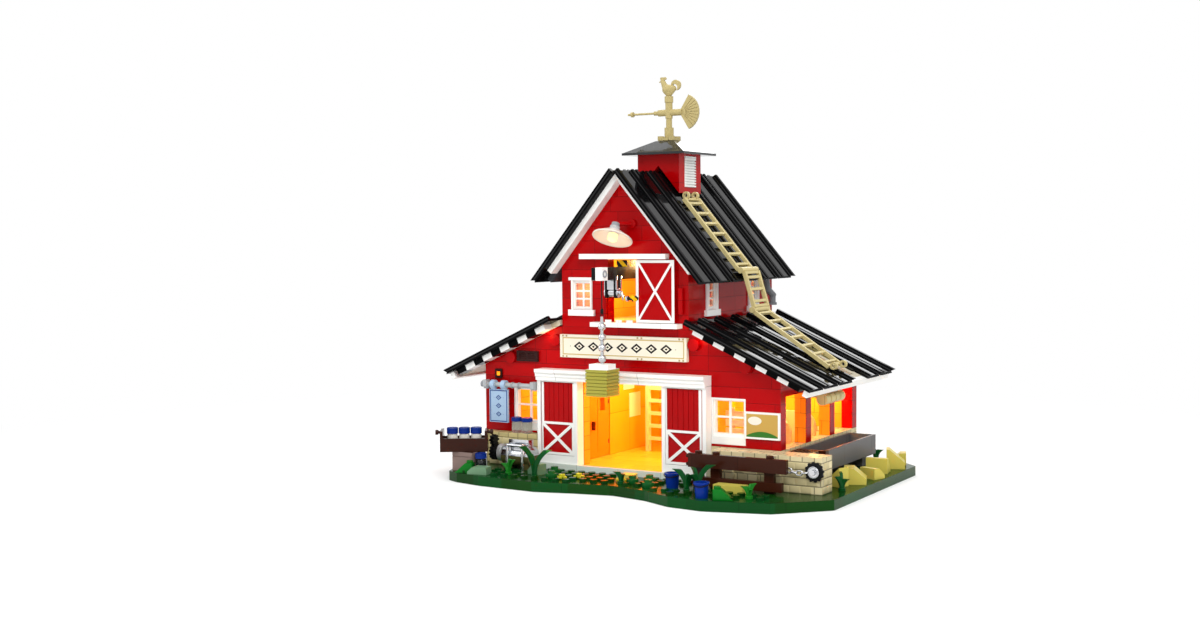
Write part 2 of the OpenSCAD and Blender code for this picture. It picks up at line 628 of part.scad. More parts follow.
// Everything under the main planks' top plane.
module under_roof() slab_y([[-200, main_z(200)], [0, main_z(0)], [200, main_z(200)]], -50, 250);
louvre_w = 16;
louvre_z = 196;
module cupola_body() color("firebrick") difference() {
    cupola_shape(cupola_w, main_z(cupola_w/2) - 1, cupola_top_z);
    under_roof();
    translate([cupola_w/2 - 1.6, cupola_y - louvre_w/2, louvre_z])
        cube([4, louvre_w, cupola_top_z - 1 - louvre_z]);
}
module cupola_louvre() color("white") translate([cupola_w/2 - 1.6, cupola_y - louvre_w/2,
        louvre_z]) difference() {
    cube([2.2, louvre_w, cupola_top_z - 1 - louvre_z]);
    for (z = [1.2:1.8:cupola_top_z - 3 - louvre_z]) translate([1.2, 1.4, z])
        cube([2, louvre_w, 0.8]);
}
roof_flat = 14;
brim_t = 1.6;
module cupola_roof() color("black") {
    translate([0, cupola_y, cupola_top_z]) {
        centred([cupola_roof_w, cupola_roof_w, brim_t]);
        hull() {
            translate([0, 0, brim_t - e]) centred([cupola_roof_w - 1, cupola_roof_w - 1, e]);
            translate([0, 0, cupola_roof_h - e]) centred([roof_flat, roof_flat, e]);
        }
        translate([0, 0, cupola_roof_h - 1]) cylinder(d=spindle_d, h=1 + spindle_l);
    }
}

// ---- weather vane ----
spindle_l = 7;
vane_base_z = cupola_top_z + cupola_roof_h + gap;
fan_half = 58;                           // half the angle of the tail fan, degrees
fan_x = 10.4;                            // the fan's root
module weather_vane() color("tan") translate([0, cupola_y, 0]) {
    difference() {
        union() {
            translate([0, 0, vane_base_z]) cylinder(d=13, h=2);
            for (a = [45:90:315]) rotate([0, 0, a]) translate([6, 0, vane_base_z])
                cylinder(d=4.4, h=3);
            translate([0, 0, vane_base_z]) cylinder(d=6.4, h=9);
            translate([0, 0, vane_base_z]) cylinder(d=4.2, h=vane_z - vane_base_z);
        }
        translate([0, 0, vane_base_z - 1]) cylinder(d=spindle_d + 2*pin_gap, h=spindle_l + 1.6);
    }
    translate([-8, 0, vane_z]) rotate([0, 90, 0]) cylinder(d=4.6, h=fan_x + 8);
    translate([-11.4, 0, vane_z]) rotate([0, 90, 0]) cylinder(d=3, h=4);
    translate([-arrow_l, 0, vane_z]) rotate([0, 90, 0]) cylinder(d=1.5, h=arrow_l - 10);
    translate([-arrow_l + 2.6, 0, vane_z]) rotate([0, 90, 0]) cylinder(d=3.6, h=1.6);
    translate([0, 0, vane_z - 4]) cylinder(d=5, h=12);
    translate([0, 0, vane_z + 7]) ring(d_out=6, d_in=2.4, h=4.2);
    // fan, spread about the tail's end
    translate([fan_x, 0, vane_z]) difference() {
        rotate([90, 0, 0]) translate([0, 0, -1]) intersection() {
            cylinder(r=fan_r - fan_x, h=2);
            linear_extrude(9, center=true) polygon([[-2, 0], [20, -22*tan(fan_half)],
                [20, 22*tan(fan_half)]]);
        }
        for (a = [-fan_half + 10:12:fan_half - 4]) rotate([0, a, 0]) for (y = [-1.6, 0.7])
            translate([3, y, -0.25]) cube([20, 0.9, 0.5]);
    }
    rooster();
}
// A plain cockerel standing on the vane's top socket.
module rooster() translate([0, 0, vane_z + 10]) {
    translate([0, 0, -6]) cylinder(d=2, h=8);
    hull() {
        translate([-1.2, 0, 6]) sphere(d=7.2, $fn=24);
        translate([3.4, 0, 6.4]) sphere(d=4.4, $fn=24);
        translate([0, 0, 2]) sphere(d=3.4, $fn=24);
    }
    hull() {
        translate([-3, 0, 8]) sphere(d=4.4, $fn=24);
        translate([-4.8, 0, 12]) sphere(d=3.2, $fn=24);
    }
    hull() {
        translate([-6, 0, 11.8]) sphere(d=1.2, $fn=16);
        translate([-7.4, 0, 11.2]) sphere(d=0.6, $fn=16);
    }
    for (k = [0:2]) translate([-5.6 + 1.4*k, 0, 13.6]) rotate([90, 0, 0])
        cylinder(d=1.9, h=1, center=true);
    translate([5.6, 0, 8.6]) rotate([90, 0, 0]) translate([0, 0, -1]) difference() {
        cylinder(r=3.6, h=2);
        translate([-1, -1.6, -1]) cylinder(r=2.4, h=4);
    }
}

// ---- signs, lamp and fittings on the front wall ----
module sign_board() color("ivory") translate([-half_u, -3.2, 82]) difference() {
    cube([upper_w, 3.2, 15.4]);
    translate([1.6, -1, 1.6]) cube([upper_w - 3.2, 1.3, 12.2]);
}
module poster_board() color("white") {
    translate([window_x + window_w, -1.6, window_z + lower_sill_h]) cube([24, 1.6, 17]);
}
pipe = [[half_u + 4, 109, 133], [half_u + 4.6, 111, 124.6], [half_u + 6, 116, 120.6]];
module wall_fittings() color("saddlebrown") {
    // louvred vent
    translate([-84.6, -1.8, 77.8]) difference() {
        cube([17.3, 1.8, 7.2]);
        for (x = [2.4, 9.4]) translate([x, -1, 1.2]) cube([5.4, 1.6, 4.8]);
    }
    // small square light
    translate([-103.2, -1.2, 65.4]) difference() {
        cube([5.6, 1.2, 6.4]);
        translate([2.8, 0.6, 3.2]) rotate([90, 0, 0]) cylinder(d=2.4, h=2);
    }
    // kinked drainpipe on the upper right wall, with a collar at each end
    translate([half_u, pipe[0][1], pipe[0][2]]) rotate([0, 90, 0]) cylinder(d=4, h=5.2);
    for (i = [0:1]) rod(pipe[i], pipe[i + 1] + (pipe[i + 1] - pipe[i])*0.16, 4.4 + 0.4*i);
    translate(pipe[2] - [0, 0, 7]) cylinder(d=4.4, h=8);
    translate(pipe[2] - [0, 0, 7]) cylinder(d=6, h=1.8);
    translate(pipe[0] - [0, 0, 1.6]) cylinder(d=6, h=3.2);
}
bar_y = -8;
bar_z = 61.7;
bar_x = [-108, -2*door_w - gap - 0.4];
module sign_bar() color("silver") {
    translate([bar_x[0] - 1, bar_y, bar_z]) rotate([0, 90, 0])
        cylinder(d=bar_d, h=bar_x[1] - bar_x[0] + 1);
    for (x = [bar_x[0] + 1, bar_x[1] - 3]) difference() {
        translate([x, bar_y - 3, bar_z - 3]) cube([3, 3 - bar_y, 6]);
        translate([x - 1, bar_y - 4, bar_z - 4]) cube([5, 2.4, 2.4]);
    }
}
sign_x = -102.8;
sign_w = 15.2;
sign_t = 1.6;
module hanging_sign() color("lightblue") {
    translate([sign_x, bar_y - sign_t/2, bar_z - 3.2 - sign_h]) cube([sign_w, sign_t, sign_h]);
    for (x = [sign_x + 1.6, sign_x + sign_w - 4.8]) difference() {
        union() {
            translate([x, bar_y, bar_z]) rotate([0, 90, 0]) cylinder(d=bar_d + 3, h=3.2);
            translate([x, bar_y - 1.2, bar_z - 4.2]) cube([3.2, 2.4, 3]);
        }
        translate([x - 1, bar_y, bar_z]) rotate([0, 90, 0])
            cylinder(d=bar_d + 2*pin_gap, h=5.2);
    }
}
lamp_y = -13;
lamp_z = 164;
lamp_tilt = -26;
module lamp_place() translate([0, lamp_y, lamp_z]) rotate([lamp_tilt, 0, 0]) children();
module lamp_arm() color("red") {
    difference() {
        rod([7, -1, lamp_z + 7], [0.6, lamp_y + 4, lamp_z + 7.2], 2.6);
        lamp_place() translate([0, 0, 5.8]) cylinder(d=4.6, h=2.4);
    }
    translate([7, -1.6, lamp_z + 7]) rotate([-90, 0, 0]) cylinder(d=6, h=1.6);
}
module lamp_shade() color("white") lamp_place() {
    rotate_extrude() polygon([[0, 3.2], [0, 2.2], [4, 1.8], [10.6, -1.8], [13.2, -3], [13.2, -2],
        [11, -0.8], [5, 2.8], [3.6, 3.2]]);
    translate([0, 0, 3.2]) cylinder(d=6.4, h=2.6);
    translate([0, 0, 5.8]) cylinder(d=4.6, h=2.4);
    translate([0, 0, -0.6]) sphere(d=6, $fn=24);
}

// ---- ladders on the roof ----
ladder_y = 56;
main_lift = 0.05;                        // a ladder lies just clear of the planks
ladder_top = [20, main_z(20) + main_lift];
ladder_knee = [60.5, main_z(60.5) + main_lift];
ladder_elbow = [70.4, side_z(70.4) + 11];
ladder_foot = [124.5, side_z(124.5) + main_lift];
// Put children at a, with X running on to b down the slope.
module along(a, b) translate([a[0], ladder_y, a[1]])
    rotate([0, atan2(a[1] - b[1], b[0] - a[0]), 0]) children();
// A ladder between two points of the XZ plane, its rungs along Y.
module ladder(a, b, rungs) along(a, b) {
    l = norm(b - a);
    for (s = [-1, 1]) translate([0, s*(ladder_w - rail_t)/2 - rail_t/2, 0])
        cube([l, rail_t, rail_t]);
    for (i = [0:rungs - 1]) translate([(i + 0.5)*l/rungs - 0.9, -ladder_w/2 + rail_t/2, 0.3])
        cube([1.8, ladder_w - rail_t, 1.8]);
    for (x = [0, l - 1.8]) translate([x, -ladder_w/2 + rail_t/2, 0.3])
        cube([1.8, ladder_w - rail_t, 1.8]);
}
// A pair of round hooks standing out of a ladder's end.
module hooks(x, z, y) for (s = [-1, 1]) translate([x, s*y - 1.2, z]) rotate([-90, 0, 0])
    ring(d_out=5, d_in=2.6, h=2.4);
module roof_ladders() color("tan") {
    ladder(ladder_top, ladder_knee, 7);
    ladder(ladder_knee + [4, -0.6], ladder_elbow + [1.2, 2.4], 3);
    ladder(ladder_elbow, ladder_foot, 7);
    along(ladder_top, ladder_knee) hooks(-1.8, 2.6, 6.5);
    along(ladder_foot, 2*ladder_foot - ladder_elbow) hooks(1.8, 3.2, 8);
    // hinge rods that join the three ladders
    for (p = [ladder_knee + [3.1, 0.6], ladder_elbow + [1.6, 1.2]])
        translate([p[0], ladder_y - ladder_w/2 - 0.8, p[1]]) rotate([-90, 0, 0])
            cylinder(d=4, h=ladder_w + 1.6);
}

// ---- yard ----
fence_y = -28;
fence_x = [61.6, 128];
module fence() color("#3a1f14") {
    l = fence_x[1] - fence_x[0];
    translate([fence_x[0], fence_y, base_t + 12.8]) cube([l, 3.2, 8.6]);
    translate([fence_x[0] + 3, fence_y, base_t + 1.6]) cube([l - 6, 3.2, 5.6]);
    for (x = [fence_x[0] + 2, fence_x[0] + 14, fence_x[1] - 16]) translate([x, fence_y + 3.2 - e, base_t])
        cube([6.4, 3.2, 21]);
}
link_l = 5.2;
link_w = 3.6;
// One chain link: a round wire bent into a long ring, in the XZ plane.
module link() rotate([90, 0, 0]) {
    s = link_l/2 - link_w/2;
    r = (link_w - wire_d)/2;
    for (m = [0, 1]) mirror([m, 0, 0]) translate([s, 0, 0]) rotate([0, 0, -90])
        rotate_extrude(angle=180) translate([r, 0]) circle(d=wire_d, $fn=16);
    for (z = [-r, r]) translate([-s, z, 0]) rotate([0, 90, 0]) cylinder(d=wire_d, h=2*s, $fn=16);
}
chain_a = [117.6, -19.4, masonry_z - 3.4];
chain_b = [138.2, -20.2, base_t + 13.8];
chain_links = 6;
chain_sag = 2.6;
function chain_at(t) = chain_a + (chain_b - chain_a)*t - [0, 0, 4*chain_sag*t*(1 - t)];
stud_x = 141.6;
stud_z = base_t + 13.9;
module gate_chain() color("silver") {
    for (i = [0:chain_links - 1]) {
        t = (i + 0.5)/chain_links;
        v = chain_at(t + 0.02) - chain_at(t - 0.02);
        translate(chain_at(t)) rotate([0, -atan2(v[2], v[0]), 0]) rotate([i%2*90, 0, 0]) link();
    }
    // clip on the wall's cap, with its eye
    translate([112.6, -yard_wall_d - 3.6, masonry_z - 5.4]) difference() {
        cube([4, 3.6, 5]);
        translate([-1, -1, 3.4]) cube([3, 3, 3]);
    }
    // round boss with a ring, at the wall's right end
    translate([stud_x, -yard_wall_d, stud_z]) rotate([90, 0, 0]) {
        cylinder(d=10, h=1.6);
        cylinder(d=6, h=3);
        translate([0, 0, 3 - e]) cylinder(d=3.4, h=2.2);
    }
}
trough = [half_w, 24, 132, 112];         // x0, y0, x1, y1
trough_z = [14, 27];
module feed_trough() color("slategray") {
    difference() {
        translate([trough[0], trough[1], trough_z[0]])
            cube([trough[2] - trough[0], trough[3] - trough[1], trough_z[1] - trough_z[0]]);
        translate([trough[0] + 2, trough[1] + 2, trough_z[0] + 2])
            cube([trough[2] - trough[0] - 4, trough[3] - trough[1] - 4, 20]);
    }
    for (y = [trough[1] + 4, 66, trough[3] - 12]) translate([trough[0] + 3, y, base_t])
        cube([12, 8, trough_z[0] - base_t]);
    // black grate behind the yard wall
    translate([trough[0] + 1, 2, base_t]) cube([18, 16, masonry_h - 3]);
    for (i = [0:6]) translate([trough[0] + 2 + i*2.5, 3, base_t + masonry_h - 3 - e])
        cube([1.2, 14, 2]);
    // ribbed round feed bin under the eave, on its arm
    translate([half_w, 36, 59]) cube([10.6, 4, 2.4]);
    for (i = [0:3]) translate([half_w + 14, 32 + i*8, 58.4]) rotate([-90, 0, 0]) {
        cylinder(d=7.4, h=6.6);
        cylinder(d=5.6, h=i < 3 ? 8 : 6.6);
    }
}
drum_x = [-84, -62];                     // ends of the machine's drum
drum_y = -16;
drum_z = base_t + 8.6;
module milk_machine() color("olive") {
    translate([drum_x[0], drum_y, drum_z]) rotate([0, 90, 0])
        cylinder(d=13.6, h=drum_x[1] - drum_x[0]);
    for (x = [drum_x[0] + 1, drum_x[1] - 5]) translate([x, drum_y - 5, base_t]) cube([4, 10, 5]);
    // wheel with spokes
    translate([drum_x[0] - 4.4, drum_y, drum_z + 1.4]) rotate([0, 90, 0]) {
        ring(d_out=12, d_in=8.6, h=3);
        cylinder(d=4, h=4.41);
        for (a = [0:60:120]) rotate([0, 0, a]) translate([-5, -0.6, 0.6]) cube([10, 1.2, 1.8]);
    }
    // two gears on the wheel's shaft and behind it
    translate([drum_x[0] - 11, drum_y, drum_z + 1.4]) rotate([0, 90, 0]) {
        gear(14, 11, 3.2);
        cylinder(d=3, h=6.7);
    }
    translate([drum_x[0] - 11, drum_y - 1.2, drum_z + 9.8]) rotate([0, 90, 0]) gear(8, 7.4, 3.2);
    // pump head with its pipes
    translate([drum_x[0] + 4, drum_y - 3, drum_z + 6]) cube([drum_x[1] - drum_x[0] - 6, 6, 5.4]);
    for (x = [drum_x[0] + 6, drum_x[1] - 4]) {
        translate([x, drum_y - 7.6, base_t]) cylinder(d=2.2, h=16);
        rod([x, drum_y - 7.6, drum_z + 8], [x, drum_y - 2, drum_z + 8], 2.2);
    }
    rod([drum_x[0] + 6, drum_y - 7.6, drum_z + 8], [drum_x[1] - 4, drum_y - 7.6, drum_z + 8], 2.2);
}
// A spur gear with square teeth.
module gear(teeth, d, h) {
    cylinder(d=d - 2.4, h=h);
    for (i = [0:teeth - 1]) rotate([0, 0, i*360/teeth]) translate([d/2 - 2, -0.7, 0])
        cube([2, 1.4, h]);
}
crate_z = base_t + 12.8;
tray_turn = 33;                          // the tray is turned on its crate, degrees
tray_w = 32;
tray_floor = 1.6;
module tray_place() translate([crate_x - 3.6, crate_y, crate_z]) rotate([0, 0, tray_turn])
    children();
module milk_tray() color("#3a1f14") {
    // open tray with tall ends and a handle at each end
    tray_place() {
        difference() {
            translate([-tray_w/2, -8, 0]) cube([tray_w, 16, 14]);
            translate([-tray_w/2 + 2, -6.4, tray_floor]) cube([tray_w - 4, 12.8, 20]);
            translate([-tray_w/2 + 2, -9, 9]) cube([tray_w - 4, 18, 9]);
        }
        for (m = [0, 1]) mirror([m, 0, 0]) translate([tray_w/2 - 0.5, 0, 12.4]) rotate([0, 90, 0]) {
            cylinder(d=2, h=3);
            translate([0, 0, 2]) cylinder(d=3.4, h=2);
        }
    }
    // crate under the tray
    translate([crate_x, crate_y, base_t]) difference() {
        centred([16, 16, crate_z - base_t]);
        translate([-9, -8.4, 9.4]) cube([18, 0.8, 0.5]);
    }
}
module jar(r, h, lid) {
    cylinder(r=r - 0.4, h=h - lid + e);
    translate([0, 0, h - lid]) cylinder(r=r, h=lid);
}
module milk_jars() color("white") {
    tray_place() for (i = [-1:1]) translate([i*8, 0, tray_floor]) jar(3.9, 14, 4);
    for (x = [-83.4, -75]) translate([x, -ledge_d/2, masonry_z]) jar(3.7, 10.5, 2.6);
    translate([crate_x + 12.4, crate_y - 3.4, base_t]) jar(3.9, 12.4, 3.4);
}
module bucket() difference() {
    rotate_extrude() polygon([[0, 0], [3.7, 0], [4.5, bucket_h - 1.2], [4.9, bucket_h - 1.2],
        [4.9, bucket_h], [0, bucket_h]]);
    translate([0, 0, 1.2]) cylinder(r1=3.05, r2=3.9, h=bucket_h);
}
module buckets() color("mediumblue") for (p = [[54, -34.5], [86, -57]])
    translate([p[0], p[1], base_t]) bucket();

// ---- hoist ----
boom_y1 = 44;
hook_y = -28;
winch_y = -14;
winch_z = boom_z - 8.6;
crank_d = 3;
module hoist_boom() color("#202020") {
    difference() {
        union() {
            translate([-boom_w/2, -boom_reach, boom_z]) cube([boom_w, boom_reach + boom_y1, 8]);
            // striped beam on top
            translate([-boom_w/2, -2, boom_z + 8 - e]) cube([boom_w, boom_y1 - 6, 4.2]);
            // column down to the loft floor
            translate([-boom_w/2, boom_y1 - 16, loft_floor_z])
                cube([boom_w, 16, boom_z - loft_floor_z + e]);
        }
        translate([0, hook_y, boom_z - 1]) cylinder(d=string_d + 1, h=2.4);
    }
    // cheeks that carry the winch
    difference() {
        for (x = [-4, 2.6]) translate([x, winch_y - 3.4, winch_z - 3.4])
            cube([1.4, 6.8, boom_z - winch_z + 3.4 + e]);
        translate([-9, winch_y, winch_z]) rotate([0, 90, 0])
            cylinder(d=crank_d + 2*pin_gap, h=18);
    }
}
module winch_crank() color("goldenrod") translate([0, winch_y, winch_z]) rotate([0, 90, 0]) {
    translate([0, 0, -5.4]) cylinder(d=crank_d, h=12);
    translate([0, 0, -2.2]) cylinder(d=5.4, h=4.4);
    // bent handle, hanging down at rest
    translate([0, 0, 6.5]) rod([0, 0, 0], [3.6, 0, 1.6], 2);
    translate([3.6, 0, 7.4]) cylinder(d=2.2, h=11);
    translate([3.6, 0, 15]) ring(d_out=4.2, d_in=2, h=2);
}
bead_top_z = 111.6;
module hoist_string() color("#181818") translate([0, hook_y, bead_top_z + 0.05])
    cylinder(d=string_d, h=boom_z - bead_top_z - 0.1);
module hoist_load() color("#a5a14b") translate([0, hook_y, 0]) {
    // ribbed bale
    ribs = 8;
    rib_h = bale_h/ribs;
    for (i = [0:ribs - 1]) {
        translate([0, 0, bale_z + i*rib_h]) centred([bale_w, bale_w, rib_h*0.78]);
        if (i < ribs - 1) translate([0, 0, bale_z + i*rib_h + rib_h*0.78 - e])
            centred([bale_w - 1, bale_w - 1, rib_h*0.22 + 2*e]);
    }
    // plate and hook chain
    top = bale_z + ribs*rib_h - rib_h*0.22;
    translate([0, 0, top - e]) centred([14, 10, 3.2 + e]);
    plate_top = top + 3.2;
    n = 4;
    step = (bead_top_z - 3 - plate_top)/n;
    for (i = [0:n - 1]) translate([0, 0, plate_top + (i + 0.5)*step]) {
        sphere(d=5.2, $fn=24);
        cylinder(d=2.2, h=step + 0.4, center=true);
    }
    translate([0, 0, bead_top_z - 3.4]) cylinder(d1=2.4, d2=1.6, h=3.4);
}

base_plate();
garden_plants();
garden_rocks();
barn_floor();
left_foundation();
right_foundation();
lower_front_wall();
lower_left_wall();
lower_right_wall();
lower_back_wall();
upper_front_wall();
upper_left_wall();
upper_right_wall();
upper_back_wall();
loft_floor();
partition_walls();
inner_ladder();
header_track();
door_sill();
loft_track();
loft_sill();
lower_windows();
upper_windows();
main_decks();
main_planks();
side_decks();
side_planks();
gable_trim();
rafter_tails();
purlin_ends();
cupola_body();
cupola_louvre();
cupola_roof();
sign_board();
wall_fittings();
sign_bar();
poster_board();
lamp_arm();
lamp_shade();
roof_ladders();
fence();
gate_chain();
feed_trough();
stall_dividers();
hoist_boom();
milk_machine();
milk_tray();
milk_jars();
buckets();
left_door_frame();
left_door_leaf();
right_door_frame();
right_door_leaf();
loft_door();
inner_door();
hanging_sign();
weather_vane();
winch_crank();
hoist_string();
hoist_load();
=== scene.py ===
"""Looks of the toy barn: finishes, small pieces, studio and camera.

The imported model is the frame, in metres: X to the viewer's right along the front wall,
Y into the barn and Z up, with the origin on the ground under the door's middle.
Sizes in this file are written in millimetres and turned to metres by MM.
"""

import logging
import math
from contextlib import contextmanager
from dataclasses import dataclass
from enum import Enum
from functools import lru_cache
from typing import Any, Callable, Iterable, Iterator, Sequence

import bmesh
import bpy
from mathutils import Matrix, Vector


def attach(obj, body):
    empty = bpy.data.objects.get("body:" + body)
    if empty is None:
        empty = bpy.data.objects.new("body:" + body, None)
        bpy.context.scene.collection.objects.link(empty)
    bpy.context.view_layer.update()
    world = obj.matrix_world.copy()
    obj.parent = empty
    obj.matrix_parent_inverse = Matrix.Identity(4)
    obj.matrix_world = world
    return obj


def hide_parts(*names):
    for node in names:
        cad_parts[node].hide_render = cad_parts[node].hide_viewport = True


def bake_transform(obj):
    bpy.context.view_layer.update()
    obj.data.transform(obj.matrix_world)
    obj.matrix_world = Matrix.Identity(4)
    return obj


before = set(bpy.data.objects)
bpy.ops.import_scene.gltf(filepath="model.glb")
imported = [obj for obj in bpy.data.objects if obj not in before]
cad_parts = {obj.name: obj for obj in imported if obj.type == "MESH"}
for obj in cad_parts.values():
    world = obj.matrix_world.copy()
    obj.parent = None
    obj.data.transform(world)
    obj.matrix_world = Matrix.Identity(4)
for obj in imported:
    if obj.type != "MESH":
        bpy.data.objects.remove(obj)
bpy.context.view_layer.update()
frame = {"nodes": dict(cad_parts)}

MM = 0.001
LOG = logging.getLogger("barn")
Colour = tuple[float, float, float]
Point = tuple[float, float, float]
Pair = tuple[float, float]
Piece = bpy.types.Object
Slope = tuple[float, float, float]
Bounds = tuple[float | None, ...]


def srgb(red: int, green: int, blue: int) -> Colour:
    """Turns a given colour into the linear values that a shader takes.

    Args:
        red: red from 0 to 255.
        green: green from 0 to 255.
        blue: blue from 0 to 255.

    Returns:
        The colour as three linear numbers.
    """
    return tuple(
        c / 12.92 if c <= 0.04045 else ((c + 0.055) / 1.055) ** 2.4
        for c in (red / 255, green / 255, blue / 255)
    )


RED = srgb(174, 1, 5)
# Painted light: the warm orange given to the red walls' inner faces and the doorway's jambs, for
# the bulbs' light falling on them.
PAINTED_LAMPLIGHT_ORANGE = srgb(250, 172, 44)
WHITE = srgb(249, 249, 246)
TAN = srgb(206, 190, 134)
BLACK = srgb(9, 9, 10)
STEEL = srgb(200, 202, 205)
DARK_BROWN = srgb(58, 26, 15)
CREAM = srgb(240, 222, 176)
SOOT = srgb(20, 20, 22)
WARM_LIGHT = (1.0, 0.66, 0.28)

# The X and Z of each roof's upper edge in millimetres, and its slope in degrees.
MAIN_SLOPE: Slope = (3.13, 207.0, 49.8)
SIDE_SLOPE: Slope = (51.99, 110.0, 24.5)
LAMP_AT: Point = (0.0, -13.0, 164.0)
LAMP_TILT = -26.0


class Body(str, Enum):
    """The moving bodies that new pieces ride on."""

    BARN = "barn"
    INNER = "inner_leaf"
    CRANK = "crank"
    LOAD = "load"


# ---------------------------------------------------------------- shader maths


def operator(operation: str) -> Callable[..., "Term"]:
    """The method that adds one kind of Math node on a term and others, in that order."""
    return lambda self, *others: self.shade.maths(operation, self, *others)


class Term:
    """A shader socket that takes part in Python arithmetic, where | is the greater of two."""

    __add__ = __radd__ = operator("ADD")
    __sub__ = operator("SUBTRACT")
    __mul__ = __rmul__ = operator("MULTIPLY")
    __truediv__ = operator("DIVIDE")
    __gt__ = operator("GREATER_THAN")
    __lt__ = operator("LESS_THAN")
    __or__ = operator("MAXIMUM")
    __abs__ = operator("ABSOLUTE")

    def __init__(self, shade: "Shade", socket: bpy.types.NodeSocket) -> None:
        """Keeps the socket and the shade that it belongs to."""
        self.shade = shade
        self.socket = socket

    def __rsub__(self, other: float) -> "Term":
        """Difference from a plain number."""
        return self.shade.maths("SUBTRACT", other, self)

    def wrap(self, period: float) -> "Term":
        """Distance from the nearest multiple of the period."""
        return self.shade.maths("PINGPONG", self, period / 2)

    def ramp(self, low: float, high: float) -> "Term":
        """0 at low, 1 at high and smooth between."""
        sockets = {"Value": self, "From Min": low, "From Max": high}
        return self.shade.out("ShaderNodeMapRange", {"interpolation_type": "SMOOTHSTEP"}, sockets)


def feed(tree: bpy.types.NodeTree, target: bpy.types.NodeSocket, value: Any) -> None:
    """Puts a number or a colour in a socket, or links a term, a node or a socket to it."""
    if isinstance(value, Term):
        value = value.socket
    elif isinstance(value, bpy.types.Node):
        value = value.outputs[0]
    if isinstance(value, bpy.types.NodeSocket):
        tree.links.new(value, target)
    elif target.type == "RGBA":
        target.default_value = (*value, 1.0)
    else:
        target.default_value = value


def add_node(
    tree: bpy.types.NodeTree,
    kind: str,
    settings: dict[str, Any] | None = None,
    sockets: dict[Any, Any] | None = None,
) -> bpy.types.Node:
    """Adds a node.

    Args:
        tree: the tree that it goes in.
        kind: the node's type.
        settings: its settings, set before its sockets.
        sockets: what goes into its sockets.

    Returns:
        The new node.
    """
    made = tree.nodes.new(kind)
    for key, value in (settings or {}).items():
        setattr(made, key, value)
    for key, value in (sockets or {}).items():
        feed(tree, made.inputs[key], value)
    return made


def seen_plainly(tree: bpy.types.NodeTree) -> bpy.types.Node:
    """Adds a mask of what the camera sees itself, in a gloss or through glass."""
    path = add_node(tree, "ShaderNodeLightPath").outputs
    mask: Any = path["Is Camera Ray"]
    for ray in ("Is Glossy Ray", "Is Transmission Ray"):
        mask = add_node(tree, "ShaderNodeMath", {"operation": "MAXIMUM"}, {0: mask, 1: path[ray]})
    return mask


class Shade:
    """One material's node tree and the calls that fill it."""

    def __init__(self, name: str) -> None:
        """Starts a material with a Principled shader."""
        self.material = bpy.data.materials.new(name)
        self.material.use_nodes = True
        self.tree = self.material.node_tree
        self.tree.nodes.clear()
        self.surface = add_node(self.tree, "ShaderNodeBsdfPrincipled")
        self.end = add_node(self.tree, "ShaderNodeOutputMaterial", {}, {0: self.surface})
        self._place: tuple[Term, ...] | None = None

    def out(
        self,
        kind: str,
        settings: dict[str, Any] | None = None,
        sockets: dict[Any, Any] | None = None,
        output: Any = 0,
    ) -> Term:
        """Adds a node and gives one of its outputs as a term."""
        return Term(self, add_node(self.tree, kind, settings, sockets).outputs[output])

    def maths(self, operation: str, *values: Any) -> Term:
        """Adds a Math node on some values."""
        return self.out("ShaderNodeMath", {"operation": operation}, dict(enumerate(values)))

    def fill(self, sockets: dict[str, Any]) -> None:
        """Fills sockets of the Principled shader."""
        for name, value in sockets.items():
            feed(self.tree, self.surface.inputs[name], value)

    def split(self, vector: Term) -> tuple[Term, ...]:
        """The three parts of a vector."""
        parts = add_node(self.tree, "ShaderNodeSeparateXYZ", {}, {0: vector})
        return tuple(Term(self, part) for part in parts.outputs)

    def place(self) -> tuple[Term, ...]:
        """The point's own coordinates on its piece, in millimetres."""
        if self._place is None:
            parts = self.split(self.out("ShaderNodeTexCoord", output="Object"))
            self._place = tuple(part * (1 / MM) for part in parts)
        return self._place

    def facing(self) -> tuple[Term, ...]:
        """How much the surface faces along X, Y and Z, from 0 to 1."""
        normal = self.out("ShaderNodeNewGeometry", output="Normal")
        return tuple(abs(part) for part in self.split(normal))

    def vector(self, x: Any, y: Any, z: Any) -> Term:
        """Joins three numbers."""
        return self.out("ShaderNodeCombineXYZ", {}, {0: x, 1: y, 2: z})

    def mix(self, mask: Any, first: Any, second: Any) -> Term:
        """A colour that is first where the mask is 0 and second where it is 1."""
        sockets = {"Factor": mask, 6: first, 7: second}
        return self.out("ShaderNodeMix", {"data_type": "RGBA"}, sockets, 2)

    def noise(self, size: float, detail: float = 2.0) -> Term:
        """Soft noise whose blotches are about size millimetres across."""
        sockets = {"Vector": self.vector(*self.place()), "Scale": 1.0 / size, "Detail": detail}
        return self.out("ShaderNodeTexNoise", {}, sockets)

    def bump(self, strength: float, height: Term, **sockets: Any) -> Term:
        """A normal that is raised by a height."""
        fixed = {"Strength": strength, "Distance": 0.0004, "Height": height}
        return self.out("ShaderNodeBump", {}, fixed | sockets)

    def inside(self, bounds: Bounds) -> Term | float:
        """A mask that is 1 inside a box.

        Args:
            bounds: low x, high x, low y, high y, low z, high z in millimetres, None if open.

        Returns:
            The mask.
        """
        mask: Any = 1.0
        for axis, low, high in zip(self.place(), bounds[::2], bounds[1::2]):
            if low is not None:
                mask = (axis > low) * mask
            if high is not None:
                mask = (axis < high) * mask
        return mask


